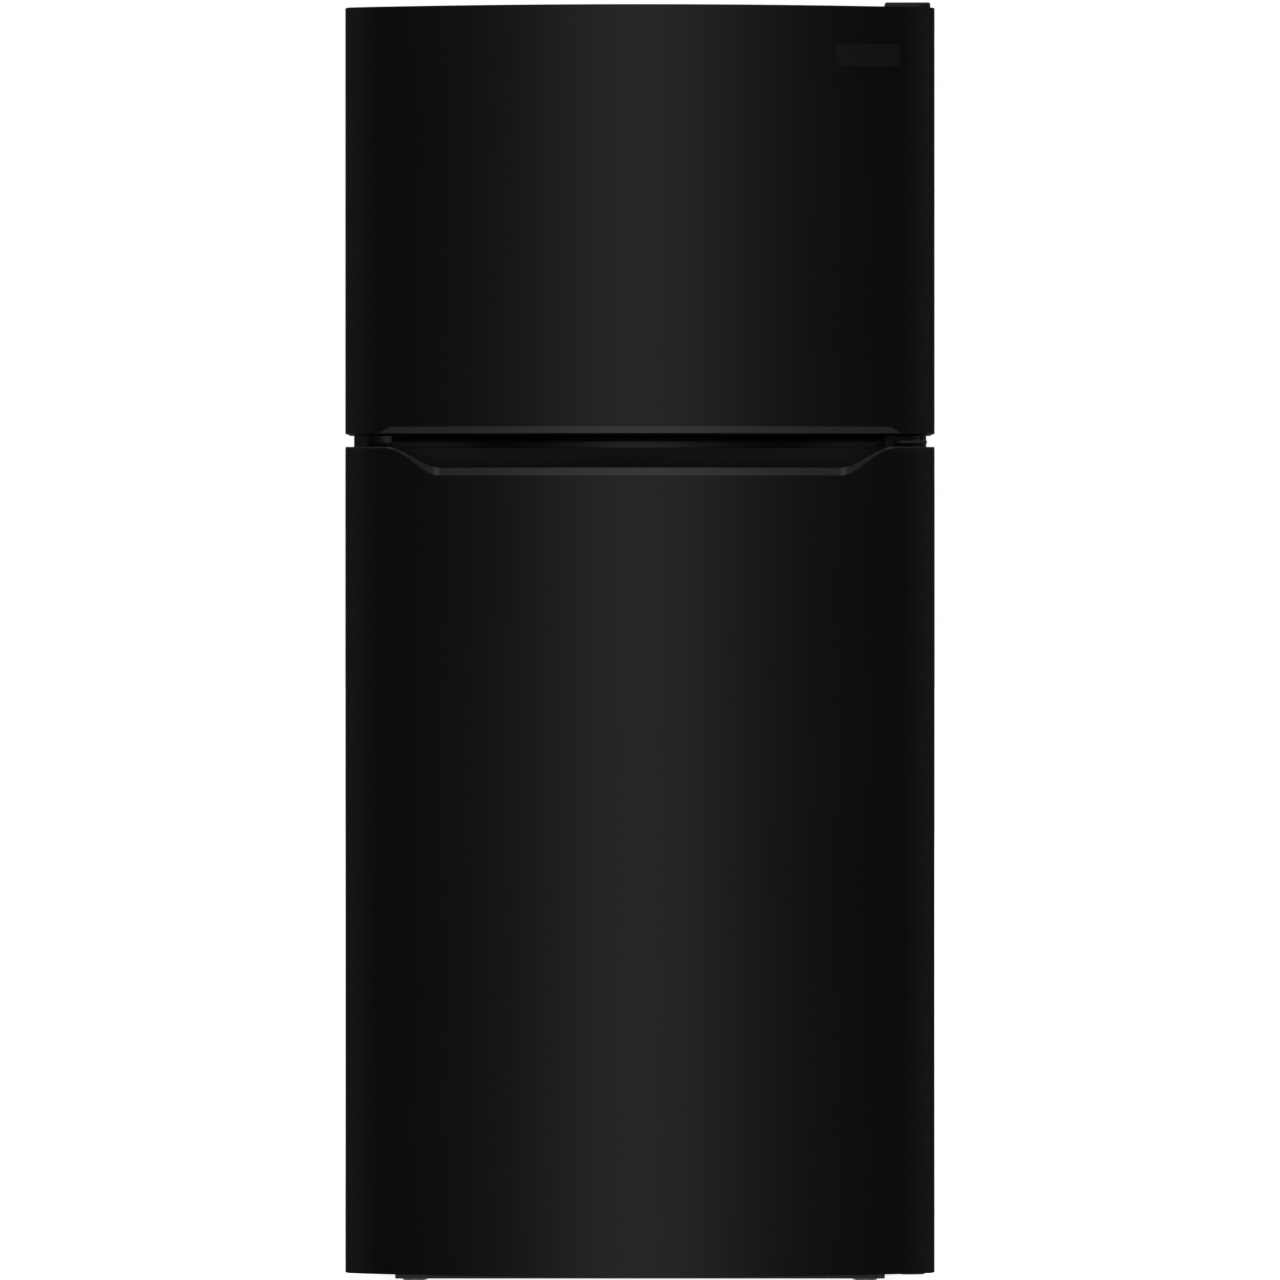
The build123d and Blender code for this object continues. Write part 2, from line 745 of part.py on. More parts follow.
full_width = (-bin_half, bin_half)
left_part = (-bin_half, -2.0)
right_part = (2.0, bin_half)
gallon_bin = door_bin(full_width, (fridge_dike[0] + dike_width + 1, fridge_dike[0] + dike_width + 121))
middle_bin = door_bin(full_width, (470.0, 560.0))
upper_bin = door_bin(full_width, (700.0, 780.0))
corner_bin = door_bin(left_part, (905.0, 985.0))
save(Compound(children=[gallon_bin, middle_bin, upper_bin, corner_bin]), "fridge_door_bins")
lower_rack = door_bin(full_width, (freezer_dike[0] + dike_width + 1, freezer_dike[0] + dike_width + 101))
upper_rack = door_bin(full_width, (freezer_door_bottom + 260, freezer_door_bottom + 350))
save(both(lower_rack, upper_rack), "freezer_door_bins")

# -- dairy compartment and its lid
dairy_z = (905.0, fridge_dike[1] - dike_width - 2)
dairy_wall = 2.5
lid_pin = 3.0
lid_axis = (door_back_y + 91, dairy_z[1] - 9)
with BuildPart() as dairy_box:
    block(right_part, (door_back_y, door_back_y + 96), dairy_z)
    fillet(edges().filter_by(Axis.X).sort_by(Axis.Z)[:2], 4.0)
    block(
        (right_part[0] + dairy_wall, right_part[1] - dairy_wall),
        (door_back_y + dairy_wall, door_back_y + 97),
        (dairy_z[0] + dairy_wall, dairy_z[1] - dairy_wall),
        mode=Mode.SUBTRACT,
    )
    rod((right_part[0] - 1, *lid_axis), (right_part[1] + 1, *lid_axis), lid_pin + 0.05, mode=Mode.SUBTRACT)
    lid_room = (lid_axis[0] - 5, door_back_y + 97)
    block(
        (right_part[0] + dairy_wall, right_part[1] - dairy_wall),
        lid_room,
        (dairy_z[0] + dairy_wall, dairy_z[1] + 1),
        mode=Mode.SUBTRACT,
    )
save(dairy_box.part, "dairy_compartment")

lid_x = (right_part[0] + dairy_wall + 0.5, right_part[1] - dairy_wall - 0.5)
lid_low = dairy_z[0] + dairy_wall + 1
with BuildPart() as dairy_lid:
    rod((right_part[0], *lid_axis), (right_part[1], *lid_axis), lid_pin)
    rod((lid_x[0], *lid_axis), (lid_x[1], *lid_axis), lid_pin + 1.2)
    block(lid_x, (lid_axis[0] + 0.5, lid_axis[0] + 3), (lid_low, lid_axis[1]))
    grip_x = (lid_x[0] + lid_x[1]) / 2
    block((grip_x - 35, grip_x + 35), (lid_axis[0] + 2, lid_axis[0] + 9), (lid_low, lid_low + 4))
save(dairy_lid.part, "dairy_lid")


# ==== hinges

cover_x = (hinge_low_x - 5.0, half_cabinet - 2.0)
cover_front = hinge_y - 19.0
pin_reach = pin_radius + 7.0
top_arm = freezer_door_top + 2.0


def hinge_arm(z_low, z_high, back):
    """A flat arm from the cabinet out to the pin, rounded round the pin."""
    with BuildPart() as arm:
        block((hinge_low_x + 12, hinge_high_x), (hinge_y, back), (z_low, z_high))
        block((hinge_low_x + 12, hinge_x), (hinge_y - pin_reach, hinge_y), (z_low, z_high))
        rod((*hinge_point, z_low), (*hinge_point, z_high), hinge_high_x - hinge_x)
        fillet(edges().filter_by(Axis.Z).group_by(Axis.Y)[0].sort_by(Axis.X)[0], 8.0)
    return arm.part


def hinge_flange(z_low):
    """The plate that screws to the cabinet's front."""
    with BuildPart() as flange:
        block((hinge_low_x, hinge_high_x), (front_plate_y, cabinet_front_y), (z_low, z_low + flange_height))
        fillet(edges().filter_by(Axis.Y), 3.0)
    return flange.part


with BuildPart() as top_hinge:
    block(
        (hinge_low_x + 2, hinge_high_x - 1),
        (cabinet_front_y + 2, top_plate_back),
        (cabinet_top, cabinet_top + hinge_sheet),
    )
    block(
        (hinge_low_x + 12, hinge_high_x),
        (cabinet_front_y + 2, cabinet_front_y + 2 + hinge_sheet),
        (cabinet_top, top_arm + hinge_sheet),
    )
    add(hinge_arm(top_arm, top_arm + hinge_sheet, cabinet_front_y + 2 + hinge_sheet))
    rod((*hinge_point, freezer_door_top - pin_grip), (*hinge_point, top_arm), pin_radius)
    screw_holes(hinge_screws)
save(top_hinge.part, "top_hinge")

with BuildPart() as centre_hinge:
    add(hinge_flange(seam - flange_height / 2))
    add(hinge_arm(seam - hinge_plate / 2, seam + hinge_plate / 2, cabinet_front_y))
    pin_low = fridge_door_top - pin_grip
    pin_high = freezer_door_bottom + pin_grip
    rod((*hinge_point, pin_low), (*hinge_point, pin_high), pin_radius)
    screw_holes(hinge_screws)
save(centre_hinge.part, "centre_hinge")

bottom_arm = fridge_door_bottom - 4.0
with BuildPart() as bottom_hinge:
    add(hinge_flange(bottom_arm - hinge_plate))
    add(hinge_arm(bottom_arm - hinge_plate, bottom_arm, cabinet_front_y))
    rod((*hinge_point, bottom_arm), (*hinge_point, fridge_door_bottom + pin_grip), pin_radius)
    screw_holes(hinge_screws)
save(bottom_hinge.part, "bottom_hinge")

cover_wall = 1.6
with BuildPart() as hinge_cover:
    with BuildSketch(Plane.YZ.offset(cover_x[0])):
        with BuildLine():
            Polyline(
                (cover_front, freezer_door_top + 0.8),
                (cover_front, overall_height - 2),
                (cover_front + 6, overall_height),
                (top_plate_back + 10, overall_height),
                (top_plate_back + 14, overall_height - 4),
                (top_plate_back + 14, cabinet_top),
                (cabinet_front_y + 0.5, cabinet_top),
                (cabinet_front_y + 0.5, freezer_door_top + 0.8),
                close=True,
            )
        make_face()
    extrude(amount=cover_x[1] - cover_x[0])
    fillet(edges().filter_by(Axis.X).group_by(Axis.Z)[-1], 3.0)
    fillet(faces().sort_by(Axis.Z)[-1].edges().filter_by(Axis.Y), 2.0)
    block(
        (cover_x[0] + cover_wall, cover_x[1] - cover_wall),
        (cover_front + cover_wall, top_plate_back + 14 - cover_wall),
        (cabinet_top - 1, overall_height - 3 - cover_wall),
        mode=Mode.SUBTRACT,
    )
save(hinge_cover.part, "top_hinge_cover")

with BuildPart() as screws:
    for spot, out in hinge_screws:
        seat = Vector(*spot)
        tip = seat - Vector(*out) * (hinge_sheet + sheet)
        crown = seat + Vector(*out) * screw_head
        rod(tuple(tip), tuple(crown), screw_radius)
        rod(tuple(seat), tuple(crown), screw_head_radius)
save(screws.part, "hinge_screws")


# ==== feet

leg_x = half_cabinet - 77.0
leg_y = -255.0
leg_radius = 5.0
foot_radius = 18.0
roller_x = half_cabinet - 47.0
roller_y = 330.0
roller_radius = 20.0
roller_half = 9.0
axle_radius = 3.0
tray_low = 38.0
tray_sheet = 2.0

toe_top = deck_height
with BuildPart() as toe_grille:
    toe_y = (cabinet_front_y + 1.5, cabinet_front_y + 13.5)
    toe_half = half_cavity - 4
    block((-toe_half, toe_half), toe_y, (10, toe_top))
    fillet(edges().filter_by(Axis.X).group_by(Axis.Y)[0], 2.0)
    block((-toe_half + 3, toe_half - 3), (toe_y[0] + 3, toe_y[1] + 1), (7, toe_top - 3), mode=Mode.SUBTRACT)
    slot_half = 10.0
    for row in range(3):
        for i in range(-10, 11):
            z = 32 + 14 * row
            x = 28 * i
            slot_x = (x - slot_half, x + slot_half)
            block(slot_x, (toe_y[0] - 1, toe_y[0] + 4), (z, z + 5), mode=Mode.SUBTRACT)
save(toe_grille.part, "toe_grille")


def leg_bracket(side):
    """Channel under the deck that takes a front leg's thread."""
    x = (side * leg_x - 22, side * leg_x + 22)
    y = (leg_y - 18, leg_y + 75)
    with BuildPart() as bracket:
        block(x, y, (48, deck_height))
        block((x[0] + 3, x[1] - 3), (y[0] - 1, y[1] - 3), (52, deck_height + 1), mode=Mode.SUBTRACT)
        rod((side * leg_x, leg_y, 40), (side * leg_x, leg_y, 52), 11)
        rod((side * leg_x, leg_y, 30), (side * leg_x, leg_y, 60), leg_radius + 0.05, mode=Mode.SUBTRACT)
    return bracket.part


def roller_bracket(side):
    """Fork under the machine tray with the roller's axle across it."""
    inner = roller_half + 1.0
    with BuildPart() as bracket:
        for end in (-1, 1):
            x = sorted((side * roller_x + end * inner, side * roller_x + end * (inner + 2.5)))
            block(x, (roller_y - 22, roller_y + 22), (roller_radius - 7, tray_low))
        for y in (roller_y - 23.5, roller_y + 22):
            block((side * roller_x - inner, side * roller_x + inner), (y, y + 1.5), (30, tray_low))
            block((side * roller_x - inner - 2.5, side * roller_x - inner), (y, y + 1.5), (30, tray_low))
            block((side * roller_x + inner, side * roller_x + inner + 2.5), (y, y + 1.5), (30, tray_low))
        reach = inner + 4
        rod(
            (side * roller_x - reach, roller_y, roller_radius),
            (side * roller_x + reach, roller_y, roller_radius),
            axle_radius,
        )
    return bracket.part


foot_mounts = [bracket(side) for bracket in (leg_bracket, roller_bracket) for side in (-1, 1)]
save(Compound(children=foot_mounts), "foot_brackets")

for side, name in ((-1, "left"), (1, "right")):
    with BuildPart() as leg:
        rod((side * leg_x, leg_y, 0), (side * leg_x, leg_y, 9), foot_radius)
        chamfer(edges().filter_by(GeomType.CIRCLE).sort_by(Axis.Z)[-1], 3.0)
        rod((side * leg_x, leg_y, 8), (side * leg_x, leg_y, deck_height - 4), leg_radius)
        with BuildSketch(Plane.XY.offset(9)):
            with Locations((side * leg_x, leg_y)):
                RegularPolygon(9.0, 6)
        extrude(amount=8)
    save(leg.part, f"levelling_leg_{name}")

    with BuildPart() as roller:
        start = (side * roller_x - roller_half, roller_y, roller_radius)
        end = (side * roller_x + roller_half, roller_y, roller_radius)
        rod(start, end, roller_radius)
        fillet(edges().filter_by(GeomType.CIRCLE), 2.0)
        rod(start, end, axle_radius + 0.05, mode=Mode.SUBTRACT)
    save(roller.part, f"rear_roller_{name}")


# ==== machine compartment

bay_half = half_cabinet - sheet
bay_back = cabinet_back_y - 2 * sheet

with BuildPart() as machine_tray:
    block((-bay_half, bay_half), (machine_front_y - 15, bay_back), (tray_low, tray_low + tray_sheet))
    block((-bay_half, bay_half), (machine_front_y - 15, machine_front_y - 13), (tray_low, deck_height))
    for side in (-1, 1):
        well_x = (side * roller_x - roller_half - 1, side * roller_x + roller_half + 1)
        well_y = (roller_y - roller_radius, roller_y + roller_radius)
        block(well_x, well_y, (tray_low - 1, tray_low + tray_sheet + 1), mode=Mode.SUBTRACT)
save(machine_tray.part, "machine_tray")

comp_x = 162.0 - half_cabinet
comp_y = (machine_front_y + bay_back) / 2
comp_radius = 68.0
grommet_height = 14.0
foot_z = tray_low + tray_sheet + grommet_height
stud_spots = [(comp_x + dx, comp_y + dy) for dx in (-75, 75) for dy in (-55, 55)]
with BuildPart() as compressor:
    block((comp_x - 88, comp_x + 88), (comp_y - 66, comp_y + 66), (foot_z, foot_z + 3))
    fillet(edges().filter_by(Axis.Z), 14.0)
    rod((comp_x, comp_y, foot_z + 5), (comp_x, comp_y, foot_z + 137), comp_radius)
    fillet(edges().filter_by(GeomType.CIRCLE).group_by(Axis.Z)[-1], 40.0)
    rod((comp_x, comp_y, foot_z), (comp_x, comp_y, foot_z + 8), comp_radius - 14)
    rod((comp_x, comp_y, foot_z + 62), (comp_x, comp_y, foot_z + 68), comp_radius + 4)
    block((comp_x - comp_radius - 22, comp_x - comp_radius + 6), (comp_y - 26, comp_y + 26), (110, 165))
save(compressor.part, "compressor")

with BuildPart() as grommets:
    for x, y in stud_spots:
        rod((x, y, tray_low + tray_sheet), (x, y, foot_z), 9.0)
        rod((x, y, tray_low + tray_sheet + 5), (x, y, foot_z - 4), 11.0)
save(grommets.part, "compressor_grommets")

coil_x = (30.0, 230.0)
coil_y = (machine_front_y + 22, machine_front_y + 130)
coil_z = (70.0, 196.0)
tube = 3.0
coil_rows = [coil_z[0] + 14 + 24.5 * i for i in range(5)]
coil_columns = [coil_y[0] + 14 + 26.6 * i for i in range(4)]
with BuildPart() as condenser_coil:
    for x in coil_x:
        block((x - 1, x + 1), coil_y, coil_z)
    for z in coil_rows:
        for y in coil_columns:
            rod((coil_x[0] - 6, y, z), (coil_x[1] + 6, y, z), tube)
    for y in coil_columns:
        for end in (coil_x[0] - 6, coil_x[1] + 6):
            rod((end, y, coil_rows[0] - tube), (end, y, coil_rows[-1] + tube), tube)
    for z in (coil_rows[0], coil_rows[-1]):
        rod((coil_x[0] - 6, coil_columns[0], z), (coil_x[0] - 6, coil_columns[-1], z), tube)
    for x in coil_x:
        block((x - 1, x + 1), (coil_y[0], coil_y[0] + 12), (tray_low + tray_sheet, coil_z[0] + 1))
        block((x - 1, x + 1), (coil_y[1] - 12, coil_y[1]), (tray_low + tray_sheet, coil_z[0] + 1))
save(condenser_coil.part, "condenser_coil")

with BuildPart() as drain_pan:
    pan_x = (coil_x[0] + 6, coil_x[1] - 6)
    tray(pan_x, (coil_y[0] - 8, coil_y[1] + 8), (tray_low + tray_sheet, coil_z[0] - 8), 2.0, 10.0)
save(drain_pan.part, "drain_pan")

fan_centre = ((coil_y[0] + coil_y[1]) / 2, 132.0)
fan_radius = 58.0


def fan(hub_radius, tip_radius, depth, blades, shaft_length):
    """A fan that turns about X: hub, twisted blades and a shaft running towards -X."""
    with BuildPart() as wheel:
        rod((0, 0, 0), (depth, 0, 0), hub_radius)
        for i in range(blades):
            turn = Location((depth / 2, 0, 0), (360 / blades * i, 0, 0))
            reach = tip_radius - hub_radius + 2
            middle = hub_radius - 2 + reach / 2
            with Locations(turn * Location((0, 0, middle), (0, 0, 32))):
                Box(1.6, hub_radius * 1.5, reach)
        rod((-shaft_length, 0, 0), (0, 0, 0), 2.5)
    return wheel.part


def motor(radius, depth, shaft_depth):
    """A fan motor on X: can and a blind hole in its front end for the shaft."""
    with BuildPart() as can:
        rod((-depth, 0, 0), (0, 0, 0), radius)
        fillet(edges().filter_by(GeomType.CIRCLE), 3.0)
        rod((-shaft_depth, 0, 0), (1, 0, 0), 2.55, mode=Mode.SUBTRACT)
    return can.part


fan_x = -28.0
with BuildPart() as condenser_fan_motor:
    add(motor(20.0, 30.0, 15.0).moved(Location((fan_x - 8, *fan_centre))))
    block((fan_x - 32, fan_x - 28), (coil_y[0], coil_y[1]), (tray_low + tray_sheet, fan_centre[1] - 10))
    motor_foot_z = (tray_low + tray_sheet, tray_low + 2 * tray_sheet)
    block((fan_x - 60, fan_x - 28), (coil_y[0], coil_y[1]), motor_foot_z)
save(condenser_fan_motor.part, "condenser_fan_motor")
save(fan(14.0, fan_radius, 16.0, 5, 22.0).moved(Location((fan_x, *fan_centre))), "condenser_fan")

with BuildPart() as machine_cover:
    block((-bay_half + 2, bay_half - 2), (bay_back, cabinet_back_y), (tray_low, machine_top))
    cover_cut = (bay_back - 1, cabinet_back_y + 1)
    for group in (-240, 0, 240):
        for i in range(8):
            z = 66 + 16 * i
            block((group - 80, group + 80), cover_cut, (z, z + 6), mode=Mode.SUBTRACT)
    rod((bay_half - 40, bay_back - 1, 84), (bay_half - 40, cabinet_back_y + 1, 84), 9.0, mode=Mode.SUBTRACT)
save(machine_cover.part, "machine_cover")

with BuildPart() as cord_gland:
    gland = (bay_half - 40, 84)
    rod((gland[0], bay_back - 3, gland[1]), (gland[0], cabinet_back_y + 3, gland[1]), 9.0)
    rod((gland[0], cabinet_back_y, gland[1]), (gland[0], cabinet_back_y + 3, gland[1]), 12.0)
    rod((gland[0], bay_back - 4, gland[1]), (gland[0], cabinet_back_y + 4, gland[1]), 4.5, mode=Mode.SUBTRACT)
save(cord_gland.part, "cord_gland")


# ==== freezer interior

cover_z = (freezer_floor + liner_wall, freezer_roof - liner_wall)
freezer_fan = (0.0, freezer_floor + 345)
freezer_knob_x = -200.0
fridge_knob_x = -70.0
knob_radius = 17.0
knob_shaft = 4.0
with BuildPart() as evaporator_cover:
    block((-inner_half, inner_half), (evaporator_cover_y, evaporator_cover_y + 3), cover_z)
    fillet(edges().filter_by(Axis.Y), liner_radius - liner_wall)
    through_cover = (evaporator_cover_y - 1, evaporator_cover_y + 4)
    for i in range(-3, 4):
        half_slot = sqrt(54.0**2 - (14.0 * i) ** 2)
        z = freezer_fan[1] + 14 * i
        block((-half_slot, half_slot), through_cover, (z - 4, z + 4), mode=Mode.SUBTRACT)
    for i in range(-8, 9):
        x = 32 * i
        low = cover_z[0] + 22
        block((x - 11, x + 11), through_cover, (low, low + 7), mode=Mode.SUBTRACT)
    knob_start = (freezer_knob_x, evaporator_cover_y - 1, freezer_fan[1])
    knob_end = (freezer_knob_x, evaporator_cover_y + 4, freezer_fan[1])
    rod(knob_start, knob_end, knob_shaft + pin_clearance, mode=Mode.SUBTRACT)
save(evaporator_cover.part, "evaporator_cover")

evap_y = (evaporator_cover_y + 14, cavity_back_y - liner_wall)
evap_z = (freezer_floor + 40.0, freezer_floor + 250.0)
with BuildPart() as evaporator_coil:
    fin_count = 11
    for i in range(fin_count):
        x = -250 + 500 / (fin_count - 1) * i
        block((x - 0.8, x + 0.8), evap_y, evap_z)
    evap_rows = [evap_z[0] + 20 + 34 * i for i in range(6)]
    for z in evap_rows:
        for y in (evap_y[0] + 18, evap_y[1] - 18):
            rod((-262, y, z), (262, y, z), 4.0)
    for end in (-262, 262):
        for y in (evap_y[0] + 18, evap_y[1] - 18):
            rod((end, y, evap_rows[0] - 4), (end, y, evap_rows[-1] + 4), 4.0)
save(evaporator_coil.part, "evaporator_coil")

fan_plane_y = evaporator_cover_y + 19.0
to_back = Location((freezer_fan[0], fan_plane_y, freezer_fan[1]), (0, 0, -90))
with BuildPart() as evaporator_fan_motor:
    add(motor(20.0, 26.0, 14.0).moved(to_back * Location((-8, 0, 0))))
    block((-60, 60), (fan_plane_y + 24, fan_plane_y + 27), (freezer_fan[1] - 12, freezer_fan[1] + 12))
    for x in ((-66, -60), (60, 66)):
        block(x, (evaporator_cover_y + 3, fan_plane_y + 27), (freezer_fan[1] - 12, freezer_fan[1] + 12))
save(evaporator_fan_motor.part, "evaporator_fan_motor")
save(fan(12.0, 50.0, 12.0, 5, 18.0).moved(to_back * Location((-2, 0, 0))), "evaporator_fan")


def knob(x, z, face_y):
    """A control knob turning about Y: skirt, grip and a shaft into its panel."""
    with BuildPart() as dial:
        rod((x, face_y - 5, z), (x, face_y - 0.5, z), knob_radius + 3)
        rod((x, face_y - 19, z), (x, face_y - 4, z), knob_radius)
        fillet(edges().filter_by(GeomType.CIRCLE).group_by(Axis.Y)[0], 2.0)
        block((x - 2, x + 2), (face_y - 21, face_y - 10), (z + 2, z + knob_radius))
        rod((x, face_y - 1, z), (x, face_y + 9, z), knob_shaft)
    return dial.part


save(knob(freezer_knob_x, freezer_fan[1], evaporator_cover_y), "freezer_knob")

wire = 2.5
with BuildPart() as freezer_shelf:
    y = (freezer_shelf_front, freezer_shelf_back)
    z = freezer_shelf_height + wire
    shelf_side = inner_half - 3.5
    for cross in (y[0] + wire, (y[0] + y[1]) / 2, y[1] - wire):
        rod((-shelf_side, cross, z), (shelf_side, cross, z), wire)
    rod((-shelf_side, y[0] + wire, z - 14), (shelf_side, y[0] + wire, z - 14), wire)
    wires = 24
    for i in range(wires + 1):
        x = -shelf_side + wire + (2 * shelf_side - 2 * wire) / wires * i
        rod((x, y[0] + wire, z + 1.5), (x, y[1] - wire, z + 1.5), 1.75)
    for x in (-shelf_side + 16, 0, shelf_side - 16):
        rod((x, y[0] + wire, z - 14), (x, y[0] + wire, z), wire)
save(freezer_shelf.part, "freezer_wire_shelf")


# ==== fresh-food interior

shelf_half = inner_half - 1.5
shelf_back = 296.0
rim_width = 14.0
pane_margin = 8.0


def shelf_frame(height):
    """Plastic rim round a glass pane, sitting on the wall rails."""
    low = height - glass - frame_under
    with BuildPart() as frame:
        block((-shelf_half, shelf_half), (shelf_front, shelf_back), (low, height + 1))
        fillet(edges().filter_by(Axis.Z), 6.0)
        block(
            (-shelf_half + rim_width, shelf_half - rim_width),
            (shelf_front + rim_width + 6, shelf_back - rim_width),
            (low - 1, height + 2),
            mode=Mode.SUBTRACT,
        )
        block(
            (-shelf_half + pane_margin, shelf_half - pane_margin),
            (shelf_front + pane_margin, shelf_back - pane_margin),
            (height - glass, height + 2),
            mode=Mode.SUBTRACT,
        )
    return frame.part


def pane(height):
    half = shelf_half - pane_margin - 0.2
    y = (shelf_front + pane_margin + 0.2, shelf_back - pane_margin - 0.2)
    with BuildPart() as sheet_glass:
        block((-half, half), y, (height - glass, height))
    return sheet_glass.part


heights = (*shelf_heights, crisper_cover_height)
save(Compound(children=[shelf_frame(height) for height in heights]), "shelf_frames")
save(Compound(children=[pane(height) for height in heights]), "shelf_glass")


def crisper(side):
    """A drawer with a rounded front and a bar to pull it by."""
    x = sorted((side * crisper_inner, side * crisper_outer))
    top = crisper_bottom + crisper_height
    with BuildPart() as drawer:
        tray(x, (crisper_front, crisper_back), (crisper_bottom, top), 3.0, 18.0)
        grip = (x[0] + 40, x[1] - 40)
        block(grip, (crisper_front - 1, crisper_front + 5), (top - 34, top - 14), mode=Mode.SUBTRACT)
        fillet(faces().sort_by(Axis.Z)[0].edges(), 2.0)
    return drawer.part


save(crisper(-1), "crisper_left")
save(crisper(1), "crisper_right")

housing_half = 150.0
housing_y = (-60.0, 90.0)
housing_z = (fridge_roof - liner_wall - 42, fridge_roof - liner_wall)
knob_z = housing_z[0] + 20
switch_x = -240.0
switch_z = fridge_dike[1] - 14
plunger_radius = 4.0
switch_y = (door_back_y + dike_rise + 14, door_back_y + dike_rise + 50)
plunger_front = door_back_y + dike_rise + 0.4
with BuildPart() as housing:
    block((-housing_half, housing_half), housing_y, housing_z)
    fillet(edges().filter_by(Axis.X).group_by(Axis.Z)[0], 10.0)
    block(
        (-housing_half + 2.5, housing_half - 2.5),
        (housing_y[0] + 2.5, housing_y[1] - 2.5),
        (housing_z[0] + 2.5, housing_z[1] + 1),
        mode=Mode.SUBTRACT,
    )
    lens_y = (housing_y[0] + 40, housing_y[1] - 20)
    block((10, 130), lens_y, (housing_z[0] - 1, housing_z[0] + 3), mode=Mode.SUBTRACT)
    knob_start = (fridge_knob_x, housing_y[0] - 1, knob_z)
    knob_end = (fridge_knob_x, housing_y[0] + 4, knob_z)
    rod(knob_start, knob_end, knob_shaft + pin_clearance, mode=Mode.SUBTRACT)
with BuildPart() as switch_body:
    block((switch_x - 14, switch_x + 14), switch_y, (switch_z - 9, housing_z[1]))
    bore_start = (switch_x, switch_y[0] - 1, switch_z)
    bore_end = (switch_x, switch_y[1] - 4, switch_z)
    rod(bore_start, bore_end, plunger_radius + pin_clearance, mode=Mode.SUBTRACT)
save(both(housing.part, switch_body.part), "control_housing")

with BuildPart() as light_lens:
    block((10.2, 129.8), (housing_y[0] + 40.2, housing_y[1] - 20.2), (housing_z[0], housing_z[0] + 2.5))
    block((8, 132), (housing_y[0] + 38, housing_y[1] - 18), (housing_z[0] + 2.5, housing_z[0] + 4))
save(light_lens.part, "light_lens")
save(knob(fridge_knob_x, knob_z, housing_y[0]), "fridge_knob")

with BuildPart() as plunger:
    rod((switch_x, plunger_front, switch_z), (switch_x, switch_y[1] - 13, switch_z), plunger_radius)
    fillet(edges().filter_by(GeomType.CIRCLE).sort_by(Axis.Y)[0], 1.5)
save(plunger.part, "light_switch")
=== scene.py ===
import json
import math
import bmesh
import bpy
from mathutils import Matrix, Vector


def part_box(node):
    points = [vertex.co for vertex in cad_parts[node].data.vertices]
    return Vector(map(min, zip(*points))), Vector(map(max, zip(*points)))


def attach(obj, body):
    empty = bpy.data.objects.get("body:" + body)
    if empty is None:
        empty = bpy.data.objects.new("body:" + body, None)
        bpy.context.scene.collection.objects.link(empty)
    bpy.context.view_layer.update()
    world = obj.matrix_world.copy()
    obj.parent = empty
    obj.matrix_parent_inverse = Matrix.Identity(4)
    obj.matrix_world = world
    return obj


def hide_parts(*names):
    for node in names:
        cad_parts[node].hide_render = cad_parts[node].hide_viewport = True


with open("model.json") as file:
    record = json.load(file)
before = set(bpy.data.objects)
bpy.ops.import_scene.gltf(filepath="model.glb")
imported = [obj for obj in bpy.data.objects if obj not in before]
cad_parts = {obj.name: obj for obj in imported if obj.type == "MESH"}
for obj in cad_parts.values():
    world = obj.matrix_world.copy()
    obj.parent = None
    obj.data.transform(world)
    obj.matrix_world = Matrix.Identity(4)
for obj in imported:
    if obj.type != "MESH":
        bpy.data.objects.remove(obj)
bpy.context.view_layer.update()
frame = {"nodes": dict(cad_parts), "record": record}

print("frame loaded:", len(frame["nodes"]), "nodes")


# ---- materials

class Signal:
    # one socket of a node tree; arithmetic on it adds Math nodes
    def __init__(self, graph, socket):
        self.graph = graph
        self.socket = socket

    def combine(self, operation, other, swapped=False):
        first, second = (other, self) if swapped else (self, other)
        return self.graph.node("ShaderNodeMath", {"operation": operation}, {0: first, 1: second})

    def __add__(self, other):
        return self.combine("ADD", other)

    def __radd__(self, other):
        return self.combine("ADD", other, True)

    def __sub__(self, other):
        return self.combine("SUBTRACT", other)

    def __rsub__(self, other):
        return self.combine("SUBTRACT", other, True)

    def __mul__(self, other):
        return self.combine("MULTIPLY", other)

    def __rmul__(self, other):
        return self.combine("MULTIPLY", other, True)


class Graph:
    def __init__(self, tree):
        self.tree = tree

    def node(self, kind, settings, inputs, output=0):
        made = self.tree.nodes.new(kind)
        for key, value in settings.items():
            if key == "stops":
                stops = made.color_ramp.elements
                for position, level in value[1:-1]:
                    stops.new(position)
                for stop, (position, level) in zip(stops, value):
                    stop.position, stop.color = position, (level, level, level, 1)
            else:
                setattr(made, key, value)
        for key, value in inputs.items():
            if isinstance(value, Signal):
                self.tree.links.new(value.socket, made.inputs[key])
            else:
                made.inputs[key].default_value = value
        return Signal(self, made.outputs[output])


